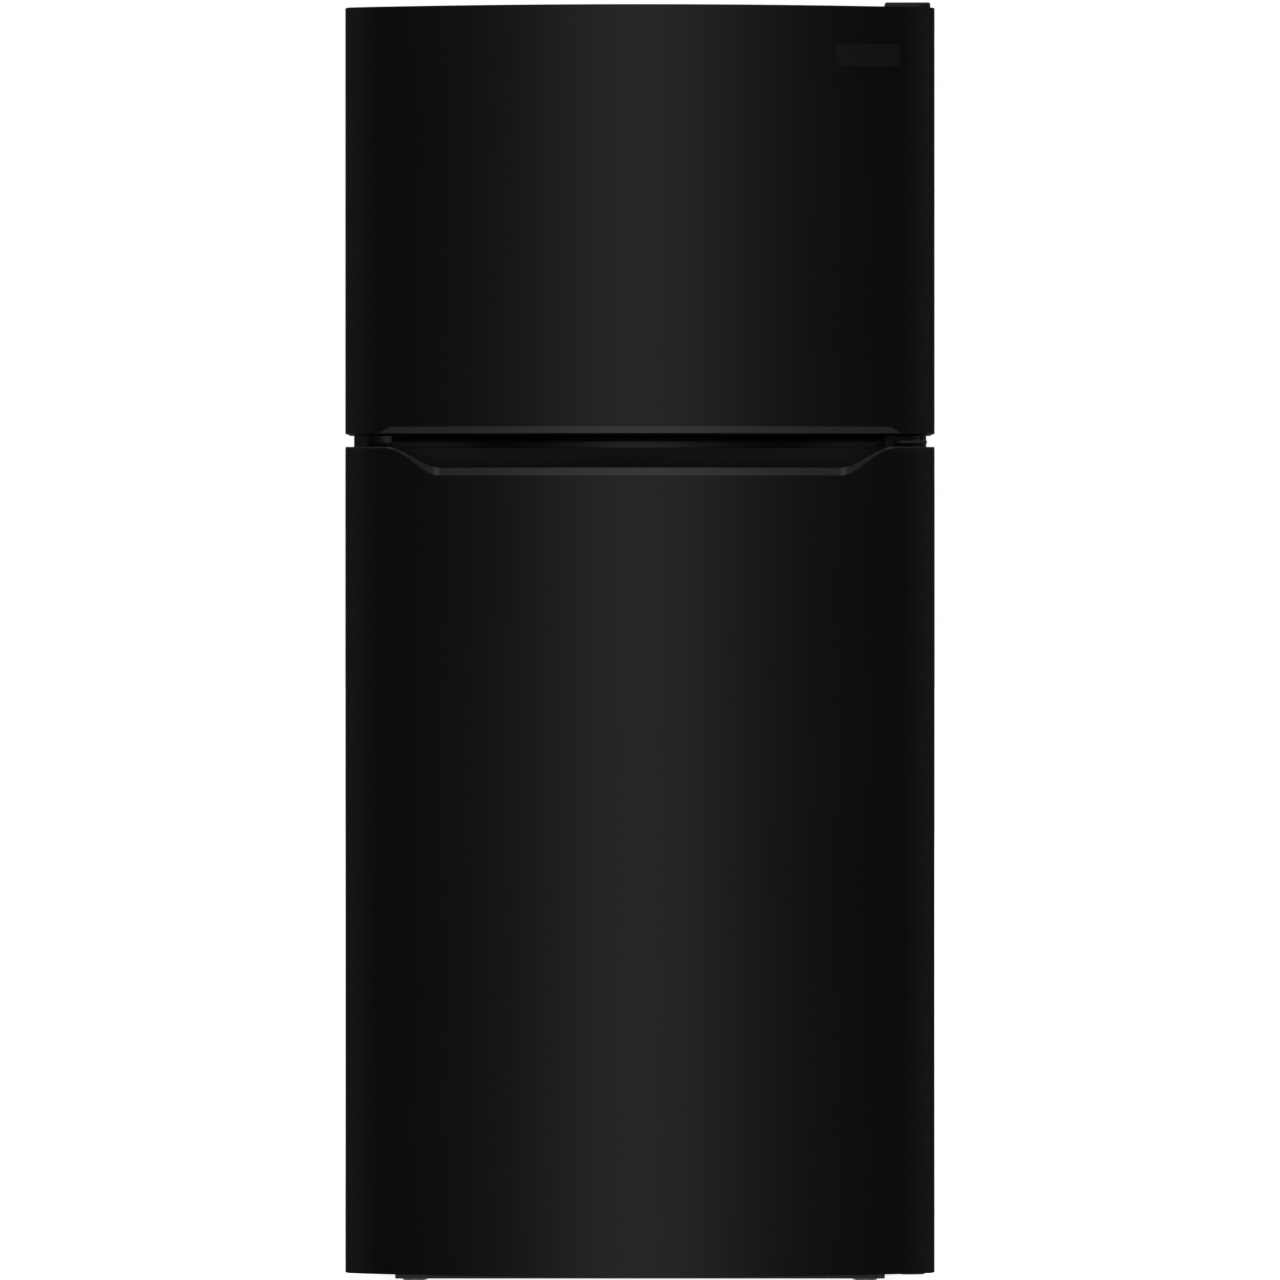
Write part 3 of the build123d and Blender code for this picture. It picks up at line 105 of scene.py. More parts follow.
class Finish(Graph):
    def __init__(self, name):
        self.material = bpy.data.materials.new(name)
        self.material.use_nodes = True
        super().__init__(self.material.node_tree)
        self.shader = self.tree.nodes["Principled BSDF"]
        self.place = self.node("ShaderNodeTexCoord", {}, {}, "Object")

    def noise(self, scale, detail=3.0, stretch=(1, 1, 1)):
        spot = self.node("ShaderNodeMapping", {}, {"Vector": self.place, "Scale": stretch})
        return self.node("ShaderNodeTexNoise", {}, {"Vector": spot, "Scale": scale, "Detail": detail})

    def cells(self, scale):
        return self.node("ShaderNodeTexVoronoi", {}, {"Vector": self.place, "Scale": scale}, "Color")

    def between(self, share, low, high):
        # a colour part way from low to high
        return self.node("ShaderNodeMix", {"data_type": "RGBA"}, {0: share, 6: (*low, 1), 7: (*high, 1)}, 2)

    def bump(self, height, depth, under=None):
        # depth is in metres
        inputs = {"Height": height, "Distance": depth, "Strength": 1.0}
        if under is not None:
            inputs["Normal"] = under
        return self.node("ShaderNodeBump", {}, inputs)

    def set(self, values):
        for key, value in values.items():
            if isinstance(value, Signal):
                self.tree.links.new(value.socket, self.shader.inputs[key])
            else:
                self.shader.inputs[key].default_value = value
        return self.material


def paint(name, look):
    # sprayed enamel: fine orange peel and a slow drift in gloss
    f = Finish(name)
    peel = f.noise(look["peelScale"], 2.0)
    drift = f.noise(3.0, 2.0)
    grey = look["colour"]
    lighter = tuple(c * 1.25 for c in grey)
    return f.set({
        "Base Color": f.between(drift, grey, lighter),
        "Roughness": look["roughness"] + (drift - 0.5) * 0.06,
        "Normal": f.bump(peel, look["peelDepth"]),
        "Coat Weight": look["coat"],
        "Coat Roughness": 0.12,
    })


def plastic(name, look):
    # moulded plastic: eroded grain over a faint unevenness of the moulding
    f = Finish(name)
    grain = f.noise(look["grainScale"], 4.0)
    flow = f.noise(9.0, 2.0)
    low = look["colour"]
    high = tuple(min(1.0, c * 1.08 + 0.002) for c in low)
    return f.set({
        "Base Color": f.between(flow, low, high),
        "Roughness": look["roughness"] + (grain - 0.5) * 0.12,
        "Normal": f.bump(grain, look["grainDepth"], f.bump(flow, 0.00004)),
        "Specular IOR Level": look.get("shine", 0.5),
    })


def clear(name, look):
    # clear moulded plastic or glass, a little hazy where it has been wiped
    f = Finish(name)
    haze = f.noise(14.0, 4.0, (1, 1, 0.4))
    return f.set({
        "Base Color": f.between(haze, look["colour"], tuple(c * 0.97 for c in look["colour"])),
        "Roughness": look["roughness"] + haze * 0.05,
        "Normal": f.bump(f.noise(30.0, 2.0), look["ripple"]),
        "Transmission Weight": look["through"],
        "IOR": look["ior"],
    })


def sheetMetal(name, look):
    # bare or plated metal: rolling lines, and spangle where it is galvanised
    f = Finish(name)
    lines = f.noise(look["lineScale"], 3.0, look["lineStretch"])
    shade = f.cells(look["spangleScale"]) if look["spangleScale"] else lines
    tone = f.node("ShaderNodeSeparateColor", {}, {"Color": shade}) if look["spangleScale"] else lines
    darker = tuple(c * 0.78 for c in look["colour"])
    return f.set({
        "Base Color": f.between(tone, darker, look["colour"]),
        "Roughness": look["roughness"] + tone * 0.12 + (lines - 0.5) * 0.08,
        "Metallic": 1.0,
        "Normal": f.bump(lines, look["lineDepth"]),
    })


def rubber(name, look):
    f = Finish(name)
    dust = f.noise(60.0, 5.0)
    high = tuple(c * 1.5 + 0.01 for c in look["colour"])
    return f.set({
        "Base Color": f.between(dust, look["colour"], high),
        "Roughness": look["roughness"] + (dust - 0.5) * 0.15,
        "Normal": f.bump(f.noise(900.0, 2.0), 0.00004),
    })


def pressed(name, look):
    # foam or pressed fibre, open and matt
    f = Finish(name)
    pores = f.noise(look["poreScale"], 6.0)
    high = tuple(min(1.0, c * 1.25) for c in look["colour"])
    return f.set({
        "Base Color": f.between(pores, look["colour"], high),
        "Roughness": look["roughness"] + pores * 0.1,
        "Normal": f.bump(pores, look["poreDepth"]),
    })


lines = {"lineScale": 220.0, "lineStretch": (0.03, 1, 1), "lineDepth": 0.00003}
finishes = {
    "black_enamel": (paint, {"colour": (0.0010, 0.0012, 0.0012), "roughness": 0.12, "coat": 0.0,
                             "peelScale": 420.0, "peelDepth": 0.00002}),
    "black_steel": (paint, {"colour": (0.012, 0.012, 0.013), "roughness": 0.42, "coat": 0.0,
                            "peelScale": 600.0, "peelDepth": 0.00004}),
    "compressor": (paint, {"colour": (0.01, 0.01, 0.011), "roughness": 0.36, "coat": 0.2,
                           "peelScale": 260.0, "peelDepth": 0.00008}),
    "wire": (paint, {"colour": (0.78, 0.78, 0.76), "roughness": 0.32, "coat": 0.1,
                     "peelScale": 500.0, "peelDepth": 0.00003}),
    "black_trim": (plastic, {"colour": (0.0020, 0.0022, 0.0022), "roughness": 0.17,
                             "grainScale": 900.0, "grainDepth": 0.00002}),
    "black_grille": (plastic, {"colour": (0.012, 0.012, 0.012), "roughness": 0.5,
                               "grainScale": 1100.0, "grainDepth": 0.00005}),
    "white_liner": (plastic, {"colour": (0.8, 0.81, 0.8), "roughness": 0.27,
                              "grainScale": 260.0, "grainDepth": 0.00003}),
    "white_plastic": (plastic, {"colour": (0.82, 0.825, 0.82), "roughness": 0.33,
                                "grainScale": 700.0, "grainDepth": 0.00003}),
    # pocket: the darker colour and weaker shine are painted shade inside the finger pockets, not a different
    # plastic; the higher roughness makes it matt
    "pocket": (plastic, {"colour": (0.0016, 0.0018, 0.0018), "roughness": 0.55, "shine": 0.28,
                         "grainScale": 1000.0, "grainDepth": 0.00005}),
    "plate_rim": (sheetMetal, {"colour": (0.2, 0.205, 0.21), "roughness": 0.25, "spangleScale": 0, **lines}),
    "nameplate": (plastic, {"colour": (0.0016, 0.0016, 0.0017), "roughness": 0.14,
                            "grainScale": 300.0, "grainDepth": 0.00001}),
    "acetal": (plastic, {"colour": (0.6, 0.6, 0.57), "roughness": 0.42,
                         "grainScale": 800.0, "grainDepth": 0.00003}),
    "motor": (plastic, {"colour": (0.03, 0.03, 0.03), "roughness": 0.45,
                        "grainScale": 900.0, "grainDepth": 0.00005}),
    "fan": (plastic, {"colour": (0.05, 0.05, 0.052), "roughness": 0.38,
                      "grainScale": 900.0, "grainDepth": 0.00002}),
    "knob": (plastic, {"colour": (0.74, 0.75, 0.75), "roughness": 0.3,
                       "grainScale": 900.0, "grainDepth": 0.00002}),
    "clear_plastic": (clear, {"colour": (0.93, 0.96, 0.97), "roughness": 0.06, "through": 0.92,
                              "ior": 1.49, "ripple": 0.00005}),
    "shelf_glass": (clear, {"colour": (0.9, 0.97, 0.94), "roughness": 0.02, "through": 1.0,
                            "ior": 1.5, "ripple": 0.00001}),
    "lens": (clear, {"colour": (0.95, 0.95, 0.92), "roughness": 0.5, "through": 0.7,
                     "ior": 1.45, "ripple": 0.0001}),
    "galvanised": (sheetMetal, {"colour": (0.56, 0.57, 0.58), "roughness": 0.36,
                                "spangleScale": 70.0, **lines}),
    "zinc_steel": (sheetMetal, {"colour": (0.5, 0.5, 0.49), "roughness": 0.33, "spangleScale": 0, **lines}),
    "copper": (sheetMetal, {"colour": (0.72, 0.36, 0.22), "roughness": 0.3, "spangleScale": 0, **lines}),
    "fins": (sheetMetal, {"colour": (0.78, 0.79, 0.8), "roughness": 0.28, "spangleScale": 0, **lines}),
    "gasket": (rubber, {"colour": (0.03, 0.03, 0.032), "roughness": 0.55}),
    "grommet": (rubber, {"colour": (0.02, 0.02, 0.02), "roughness": 0.7}),
    "foam": (pressed, {"colour": (0.7, 0.55, 0.26), "roughness": 0.85, "poreScale": 500.0,
                       "poreDepth": 0.0004}),
    "board": (pressed, {"colour": (0.025, 0.025, 0.025), "roughness": 0.75, "poreScale": 700.0,
                        "poreDepth": 0.00012}),
}
materials = {name: make("finish_" + name, look) for name, (make, look) in finishes.items()}
slotOf = {entry["node"]: entry["material_slot"] for entry in frame["record"]["subparts"]}
bodyOf = {node: body for body, members in frame["record"]["behaviour"]["bodies"].items() for node in members}
print("materials made:", len(materials))

for nodeName, thing in frame["nodes"].items():
    thing.data.materials.clear()
    thing.data.materials.append(materials[slotOf[nodeName]])


# ---- mesh helpers

def finishPiece(name, shape, node, smoothAngle=32):
    # turns a bmesh into a piece that takes the place of a node
    mesh = bpy.data.meshes.new(name)
    shape.to_mesh(mesh)
    shape.free()
    mesh.shade_smooth()
    mesh.set_sharp_from_angle(angle=math.radians(smoothAngle))
    piece = bpy.data.objects.new(name, mesh)
    bpy.context.scene.collection.objects.link(piece)
    mesh.materials.append(materials[slotOf[node]])
    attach(piece, bodyOf[node])
    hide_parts(node)
    return piece


weld = {"distance": 0.00001, "flatAngle": math.radians(0.6), "creaseAngle": math.radians(40)}


def creased(shape):
    return [e for e in shape.edges if len(e.link_faces) == 2 and e.calc_face_angle(0) > weld["creaseAngle"]]


def refine(node, width):
    # a copy of a node with its flat facets joined and its hard edges eased
    shape = bmesh.new()
    shape.from_mesh(frame["nodes"][node].data)
    bmesh.ops.remove_doubles(shape, verts=shape.verts, dist=weld["distance"])
    bmesh.ops.dissolve_limit(shape, angle_limit=weld["flatAngle"], verts=shape.verts, edges=shape.edges)
    bmesh.ops.bevel(shape, geom=creased(shape), offset=width, segments=2, affect="EDGES",
                    profile=0.5, material=-1, clamp_overlap=True)
    bmesh.ops.triangulate(shape, faces=[f for f in shape.faces if len(f.verts) > 4])
    finishPiece(node + "_finished", shape, node)


easing = {  # metres taken off each hard edge
    "cabinet_wrapper": 0.0004, "back_panel": 0.0004, "mullion_rail": 0.0004, "toe_grille": 0.0005,
    "machine_cover": 0.0004, "fresh_food_liner": 0.0008, "freezer_liner": 0.0008,
    "top_hinge": 0.0004, "centre_hinge": 0.0005, "bottom_hinge": 0.0005, "top_hinge_cover": 0.0016,
    "foot_brackets": 0.0004, "cord_gland": 0.0005, "evaporator_cover": 0.0006,
    "control_housing": 0.0006, "light_lens": 0.0004, "shelf_frames": 0.0008, "shelf_glass": 0.0005,
    "freezer_door_top_cap": 0.0005, "fridge_door_bottom_cap": 0.0005,
    "freezer_door_liner": 0.0006, "fridge_door_liner": 0.0006, "dairy_compartment": 0.0006,
    "dairy_lid": 0.0004, "crisper_left": 0.0006, "crisper_right": 0.0006,
    "freezer_door_bins": 0.0006, "fridge_door_bins": 0.0006, "compressor": 0.0008,
    "levelling_leg_left": 0.0004, "levelling_leg_right": 0.0004, "rear_roller_left": 0.0003,
    "rear_roller_right": 0.0003, "light_switch": 0.0002, "hinge_screws": 0.0003,
    "base_deck": 0.0004, "machine_tray": 0.0004,
}
for node, width in easing.items():
    refine(node, width)
    print("eased", node)


# ---- door skins

door = {"crown": 0.0185, "shoulder": 0.044, "shoulderDrop": 0.0047, "corner": 0.008, "sheet": 0.0008,
        "cutEdge": 0.00025, "frontShare": 0.8, "cornerShare": 0.1}
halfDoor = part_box("fridge_door_skin")[1].x
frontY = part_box("fridge_door_skin")[0].y
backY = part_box("fridge_door_skin")[1].y


def frontAt(x):
    # the bowed front: a long arc, then a tighter shoulder
    crown = door["crown"] - door["shoulderDrop"]
    bendX = halfDoor - door["shoulder"]
    radius = (bendX ** 2 + crown ** 2) / (2 * crown)
    x = abs(x)
    if x <= bendX:
        return frontY + radius - math.sqrt(radius ** 2 - x ** 2)
    slopeSin = bendX / radius
    slopeCos = math.sqrt(1 - slopeSin ** 2)
    reach, drop = door["shoulder"], door["shoulderDrop"]
    bend = (reach ** 2 + drop ** 2) / (2 * (drop * slopeCos - reach * slopeSin))
    centreX = bendX - bend * slopeSin
    return frontY + crown + bend * slopeCos - math.sqrt(bend ** 2 - (x - centreX) ** 2)


def planPoint(share):
    # share runs from 0 at the middle of the front to 1 at the back of the right side
    corner = door["corner"]
    startX = halfDoor - corner
    probe = 0.001
    slope = math.atan((frontAt(startX + probe) - frontAt(startX - probe)) / (2 * probe))
    tangentX = startX + corner * math.sin(slope)
    centreY = frontAt(tangentX) + corner * math.cos(slope)
    front, bend = door["frontShare"], door["cornerShare"]
    if share <= front:
        x = tangentX * share / front
        return x, frontAt(x)
    if share <= front + bend:
        turn = slope + (math.pi / 2 - slope) * (share - front) / bend
        return startX + corner * math.sin(turn), centreY - corner * math.cos(turn)
    sideStart = front + bend
    return halfDoor, centreY + (backY - centreY) * (share - sideStart) / (1 - sideStart)


def sweep(name, node, stations, rows, place):
    # a grid bent over the door: place(station, row) gives each point
    shape = bmesh.new()
    bmesh.ops.create_grid(shape, x_segments=len(stations) - 1, y_segments=len(rows) - 1, size=1.0)
    for vert in shape.verts:
        column = round((vert.co.x + 1) / 2 * (len(stations) - 1))
        row = round((vert.co.y + 1) / 2 * (len(rows) - 1))
        vert.co = Vector(place(stations[column], rows[row]))
    bmesh.ops.dissolve_degenerate(shape, dist=0.000002, edges=shape.edges)
    bmesh.ops.recalc_face_normals(shape, faces=shape.faces)
    facing = max(shape.faces, key=lambda f: f.calc_area())
    if facing.normal.y > 0:
        bmesh.ops.reverse_faces(shape, faces=shape.faces)
    return finishPiece(name, shape, node, 28)


def thicken(piece, wall):
    solid = piece.modifiers.new("wall", "SOLIDIFY")
    solid.thickness, solid.offset = wall, -1


def doorSheet(node, topAt, bottomAt):
    holds = (0.0, 0.0006, 0.0015, 0.004, 0.02)  # rows held close to the cut edges
    rows = [("low", h) for h in holds]
    rows += [("part", p / 8) for p in range(1, 8)]
    rows += [("high", h) for h in holds[::-1]]
    steps = 160
    stations = [i / steps for i in range(-steps, steps + 1)]

    def place(share, row):
        x, y = planPoint(abs(share))
        x = math.copysign(x, share)
        low, high = bottomAt(x, y), topAt(x, y)
        kind, amount = row
        if kind == "low":
            return x, y, low + amount
        if kind == "high":
            return x, y, high - amount
        return x, y, low + (high - low) * amount

    piece = sweep(node + "_finished", node, stations, rows, place)
    thicken(piece, door["sheet"])
    edge = piece.modifiers.new("edge", "BEVEL")
    edge.width, edge.segments, edge.limit_method = door["cutEdge"], 2, "ANGLE"
    edge.angle_limit, edge.harden_normals = math.radians(50), True


scoop = {"depth": 0.027, "half": 0.327, "flatHalf": 0.257, "bevel": 0.0103, "bevelEnd": 0.002,
         "setback": 0.008, "bevelSlope": 1.25}
pocket = {"half": 0.262, "depth": 0.026, "drop": 0.034, "lipWall": 0.0039, "lipThickness": 0.004,
          "lowerRound": 0.003, "upperRound": 0.003, "edgeRound": 0.0008}
capWall = 0.0012
underSkin = 0.006  # how far a cap reaches behind the steel
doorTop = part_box("fridge_door_skin")[1].z + scoop["bevelEnd"]
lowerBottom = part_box("fridge_door_skin")[0].z
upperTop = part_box("freezer_door_skin")[1].z
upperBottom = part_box("freezer_door_skin")[0].z
pocketBack = frontY + scoop["setback"] + pocket["lipThickness"] + pocket["depth"]
innerFace = 0.0025
capBack = backY - innerFace
coreInset = 0.0009


def scoopShare(x):
    t = (scoop["half"] - abs(x)) / (scoop["half"] - scoop["flatHalf"])
    t = min(1.0, max(0.0, t))
    return t * t * (3 - 2 * t)


def crestAt(x):
    return doorTop - scoop["depth"] * scoopShare(x)


def skinTop(x, y):
    return crestAt(x) - scoop["bevelEnd"] - (scoop["bevel"] - scoop["bevelEnd"]) * scoopShare(x)


lip = {"half": 0.321, "run": 0.015, "height": 0.0084, "setback": 0.005}


def skinBottom(x, y):
    run = (lip["half"] + lip["run"] - abs(x)) / lip["run"]
    return upperBottom + lip["height"] * min(1.0, max(0.0, run))


doorSheet("fridge_door_skin", skinTop, lambda x, y: lowerBottom)
doorSheet("freezer_door_skin", lambda x, y: upperTop, skinBottom)
print("door skins made")


# ---- end caps with the finger pockets

sliver = 0.0002
spacing = 0.003
sideEnd = halfDoor - coreInset - sliver
fine = [i * spacing for i in range(0, 127) if i * spacing < sideEnd - 0.001]
ends = [pocket["half"] - sliver, pocket["half"], pocket["half"] + sliver, sideEnd]
columns = sorted(set(round(x, 5) for x in fine + ends))
columns = [-x for x in columns[::-1] if x > 0] + columns


def lowerProfile(x):
    # from behind the steel, up the bevel, over the lip, down into the pocket and up its back wall
    y, crest = frontAt(x) + coreInset, crestAt(x)
    skin = skinTop(x, y)
    inPocket = abs(x) <= pocket["half"]
    lipBack = y + scoop["setback"] + (pocket["lipWall"] - coreInset)
    dropped = scoopShare(x) > 0.02
    backWall = pocketBack if dropped else lipBack + 0.002
    floorZ, floorEdge, lipEdge, turn = crest, crest, crest, 0.0
    if inPocket:
        floorZ = doorTop - scoop["depth"] - pocket["drop"]
        floorEdge = floorZ + pocket["lowerRound"]
        lipEdge = crest - pocket["edgeRound"]
        turn = pocket["lowerRound"]
    slope = scoop["bevelSlope"]
    setback = (crest - skin) / slope
    bevel = [(y, skin - underSkin), (y, skin), (y + 0.0006, skin + slope * 0.0006),
             (y + setback - 0.0012, crest - slope * 0.0012), (y + setback - 0.0004, crest - 0.0001),
             (y + setback + 0.0006, crest)]
    inside = [(lipBack - pocket["edgeRound"], crest), (lipBack, lipEdge), (lipBack, floorEdge),
              (lipBack + turn, floorZ), (backWall - turn, floorZ), (backWall, floorEdge)]
    top = [(backWall, doorTop - 0.001 if dropped else crest), (backWall + 0.001, doorTop), (capBack, doorTop)]
    return bevel + inside + top


def upperProfile(x):
    # the leaning lip, its lower edge, then the pocket above it
    y = frontAt(x) + coreInset
    lipTop = upperBottom + lip["height"]
    foot = y + lip["setback"]
    lipBack = y + scoop["setback"] + (pocket["lipWall"] - coreInset)
    roof, lipEdge, wallEdge, turn = upperBottom, upperBottom, upperBottom, 0.0
    if abs(x) <= pocket["half"]:
        roof = upperBottom + pocket["drop"]
        lipEdge = upperBottom + pocket["edgeRound"]
        wallEdge = upperBottom + 0.001
        turn = pocket["upperRound"]
    leaning = [(y, lipTop + underSkin), (y, lipTop), (y + 0.0005, lipTop - 0.0009),
               (foot - 0.0006, upperBottom + 0.001), (foot + 0.0002, upperBottom + 0.0001),
               (foot + 0.001, upperBottom)]
    inside = [(lipBack - pocket["edgeRound"], upperBottom), (lipBack, lipEdge), (lipBack, roof - turn),
              (lipBack + turn, roof), (pocketBack - turn, roof), (pocketBack, roof - turn)]
    bottom = [(pocketBack, wallEdge), (pocketBack + 0.001, upperBottom), (capBack, upperBottom)]
    return leaning + inside + bottom


pocketStart = 0.0113  # how far behind the front the matt pocket finish begins; its darker colour there is painted shade


def gripCap(node, profile):
    rowCount = len(profile(0.0))
    outline = {x: profile(x) for x in columns}

    def place(x, row):
        y, z = outline[x][row]
        return x, y, z

    piece = sweep(node + "_finished", node, columns, list(range(rowCount)), place)
    thicken(piece, capWall)
    # faces more than pocketStart behind the front take the darker pocket finish: painted shade in the recess
    piece.data.materials.append(materials["pocket"])
    for face in piece.data.polygons:
        middle = face.center
        if middle.y > frontAt(middle.x) + pocketStart:
            face.material_index = 1


gripCap("fridge_door_grip_cap", lowerProfile)
gripCap("freezer_door_grip_cap", upperProfile)
print("grip caps made")


# ---- nameplate, gaskets and knobs

plate = {"corner": 0.0032, "bevel": 0.0018, "lift": 0.0012, "crown": 0.0010, "bedded": 0.0002}


def makeNameplate():
    low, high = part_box("nameplate")
    middle = (low + high) / 2
    shape = bmesh.new()
    bmesh.ops.create_grid(shape, x_segments=24, y_segments=1, size=0.5)
    size = high - low
    bmesh.ops.scale(shape, vec=(size.x, size.z, 1), verts=shape.verts)
    corners = [v for v in shape.verts if abs(abs(v.co.x) - size.x / 2) < 1e-5]
    bmesh.ops.bevel(shape, geom=corners, offset=plate["corner"], segments=5, affect="VERTICES",
                    profile=0.5, material=-1)
    bmesh.ops.rotate(shape, verts=shape.verts, cent=(0, 0, 0), matrix=Matrix.Rotation(math.pi / 2, 3, "X"))
    base = list(shape.faces)
    raised = bmesh.ops.inset_region(shape, faces=base, thickness=plate["bevel"], depth=0.0)
    inner = set(base)
    for vert in {v for f in inner for v in f.verts}:
        vert.co.y -= plate["crown"]
    rim = [e for e in shape.edges if e.is_boundary]
    skirt = bmesh.ops.extrude_edge_only(shape, edges=rim)["geom"]
    for vert in (g for g in skirt if isinstance(g, bmesh.types.BMVert)):
        vert.co.y += plate["lift"]
    for vert in shape.verts:
        x = middle.x + vert.co.x
        y = frontAt(x) - plate["lift"] + vert.co.y + plate["bedded"]
        vert.co = Vector((x, y, middle.z + vert.co.z))
    bmesh.ops.recalc_face_normals(shape, faces=shape.faces)
    if sum(f.normal.y for f in inner) > 0:
        bmesh.ops.reverse_faces(shape, faces=shape.faces)
    shape.faces.index_update()
    sloping = [f.index for f in raised["faces"] if f.is_valid]
    piece = finishPiece("nameplate_finished", shape, "nameplate", 20)
    piece.data.materials.append(materials["plate_rim"])
    for index in sloping:
        piece.data.polygons[index].material_index = 1


makeNameplate()

# the seal's section: millimetres in from the rim, and up from the door
seal = ((0, 0), (0, 3), (2.2, 3.4), (3.2, 4.2), (0.9, 5.2), (3.4, 6.4), (1.2, 7.6), (2.4, 8.4),
        (0.8, 9.0), (0.4, 10.4), (1.0, 11.8), (8, 11.95), (9, 11.95), (10, 11.95), (17.0, 11.8),
        (17.6, 10.4), (17.2, 9.0), (15.6, 8.4), (16.8, 7.6), (14.6, 6.4), (17.1, 5.2), (14.8, 4.2),
        (15.8, 3.4), (18, 3), (18, 0))


def makeGasket(node):
    # rectangular loops of the seal's section, bridged one to the next
    low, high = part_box(node)
    shape = bmesh.new()
    loops = []
    for inset, rise in seal:
        step, y = inset / 1000, low.y + rise / 1000
        spots = ((low.x + step, low.z + step), (high.x - step, low.z + step),
                 (high.x - step, high.z - step), (low.x + step, high.z - step))
        corners = [shape.verts.new((x, y, z)) for x, z in spots]
        loops.append([shape.edges.new((corners[i], corners[(i + 1) % 4])) for i in range(4)])
    for first, second in zip(loops, loops[1:] + loops[:1]):
        bmesh.ops.bridge_loops(shape, edges=first + second)
    bmesh.ops.recalc_face_normals(shape, faces=shape.faces)
    finishPiece(node + "_finished", shape, node, 60)


makeGasket("freezer_door_gasket")
makeGasket("fridge_door_gasket")

dial = {"ribs": 30, "ribDepth": 0.0007, "rounding": 0.0012, "inset": 0.003, "height": 0.0155,
        "skirtTaper": 0.002, "skirtHeight": 0.004, "shaft": 0.004, "shaftLength": 0.012, "standoff": 0.0205}


def makeKnob(node):
    # built standing on the z axis, then turned to face forward
    low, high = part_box(node)
    radius = (high.x - low.x) / 2
    middle = Vector(((low.x + high.x) / 2, low.y + dial["standoff"], low.z + radius))
    shape = bmesh.new()
    bmesh.ops.create_circle(shape, cap_ends=True, segments=dial["ribs"] * 2, radius=radius - dial["inset"])
    for i, vert in enumerate(shape.verts):
        if i % 2:
            vert.co -= vert.co.normalized() * dial["ribDepth"]
    grip = bmesh.ops.extrude_face_region(shape, geom=list(shape.faces))["geom"]
    risen = [g for g in grip if isinstance(g, bmesh.types.BMVert)]
    bmesh.ops.translate(shape, vec=(0, 0, dial["height"]), verts=risen)
    front = [g for g in grip if isinstance(g, bmesh.types.BMFace)]
    bmesh.ops.inset_region(shape, faces=front, thickness=dial["rounding"], depth=0.0008)
    bmesh.ops.inset_region(shape, faces=front, thickness=0.004, depth=-0.0006)
    skirt = bmesh.ops.create_cone(shape, cap_ends=True, segments=64, radius1=radius,
                                  radius2=radius - dial["skirtTaper"], depth=dial["skirtHeight"])["verts"]
    bmesh.ops.translate(shape, vec=(0, 0, dial["skirtHeight"] / 2), verts=skirt)
    mark = bmesh.ops.create_cube(shape, size=1.0)["verts"]
    bmesh.ops.scale(shape, vec=(0.0022, radius - 0.007, 0.0016), verts=mark)
    bmesh.ops.translate(shape, vec=(0, (radius - 0.005) / 2 + 0.0005, 0.0168), verts=mark)
    shaft = bmesh.ops.create_cone(shape, cap_ends=True, segments=32, radius1=dial["shaft"],
                                  radius2=dial["shaft"], depth=dial["shaftLength"])["verts"]
    bmesh.ops.translate(shape, vec=(0, 0, -0.005), verts=shaft)
    placed = Matrix.Translation(middle) @ Matrix.Rotation(math.pi / 2, 4, "X")
    bmesh.ops.transform(shape, matrix=placed, verts=shape.verts)
    bmesh.ops.recalc_face_normals(shape, faces=shape.faces)
    finishPiece(node + "_finished", shape, node, 34)


makeKnob("fridge_knob")
makeKnob("freezer_knob")
print("nameplate, gaskets and knobs made")


# ---- studio

shot = {"distance": 2.9, "lens": 63.4, "horizon": -0.06, "height": 0.9542}
camera = bpy.data.objects.new("camera", bpy.data.cameras.new("camera"))
bpy.context.scene.collection.objects.link(camera)
bpy.context.scene.camera = camera
camera.data.lens = shot["lens"]
camera.data.sensor_width = 36.0
camera.data.shift_y = shot["horizon"]
camera.location = (0, frontAt(halfDoor) - shot["distance"], shot["height"])
camera.rotation_euler = (math.pi / 2, 0, 0)

floorHalf = 14.0
floorMesh = bmesh.new()
bmesh.ops.create_grid(floorMesh, x_segments=1, y_segments=1, size=floorHalf)
floorData = bpy.data.meshes.new("floor")
floorMesh.to_mesh(floorData)
floorMesh.free()
floor = bpy.data.objects.new("floor", floorData)
bpy.context.scene.collection.objects.link(floor)
floorFinish = Finish("floor_paint")
floorData.materials.append(floorFinish.set({
    "Base Color": floorFinish.between(floorFinish.noise(2.0), (0.9, 0.9, 0.9), (0.92, 0.92, 0.92)),
    "Roughness": 0.7,
    "Emission Color": (1, 1, 1, 1),
    "Emission Strength": 0.8,
}))
floor.visible_glossy = False


def softbox(name, spot, target, width, height, watts):
    lamp = bpy.data.objects.new(name, bpy.data.lights.new(name, "AREA"))
    bpy.context.scene.collection.objects.link(lamp)
    lamp.data.shape = "RECTANGLE"
    lamp.data.size, lamp.data.size_y, lamp.data.energy = width, height, watts
    lamp.location = spot
    aim = Vector(target) - Vector(spot)
    lamp.rotation_euler = aim.to_track_quat("-Z", "Y").to_euler()
    return lamp


softbox("key", (0, -4.6, 2.2), (0, 0, 0.9), 2.0, 2.4, 60).visible_glossy = False
for side in (-1, 1):
    softbox("side", (side * 3.6, -1.2, 1.6), (0, 0, 0.9), 1.0, 2.6, 45).visible_glossy = False
softbox("back", (1.2, 4.2, 2.2), (0, 0, 0.9), 2.4, 2.0, 60)
softbox("top", (0, 0.4, 4.2), (0, 0, 0), 3.0, 3.0, 70).visible_glossy = False

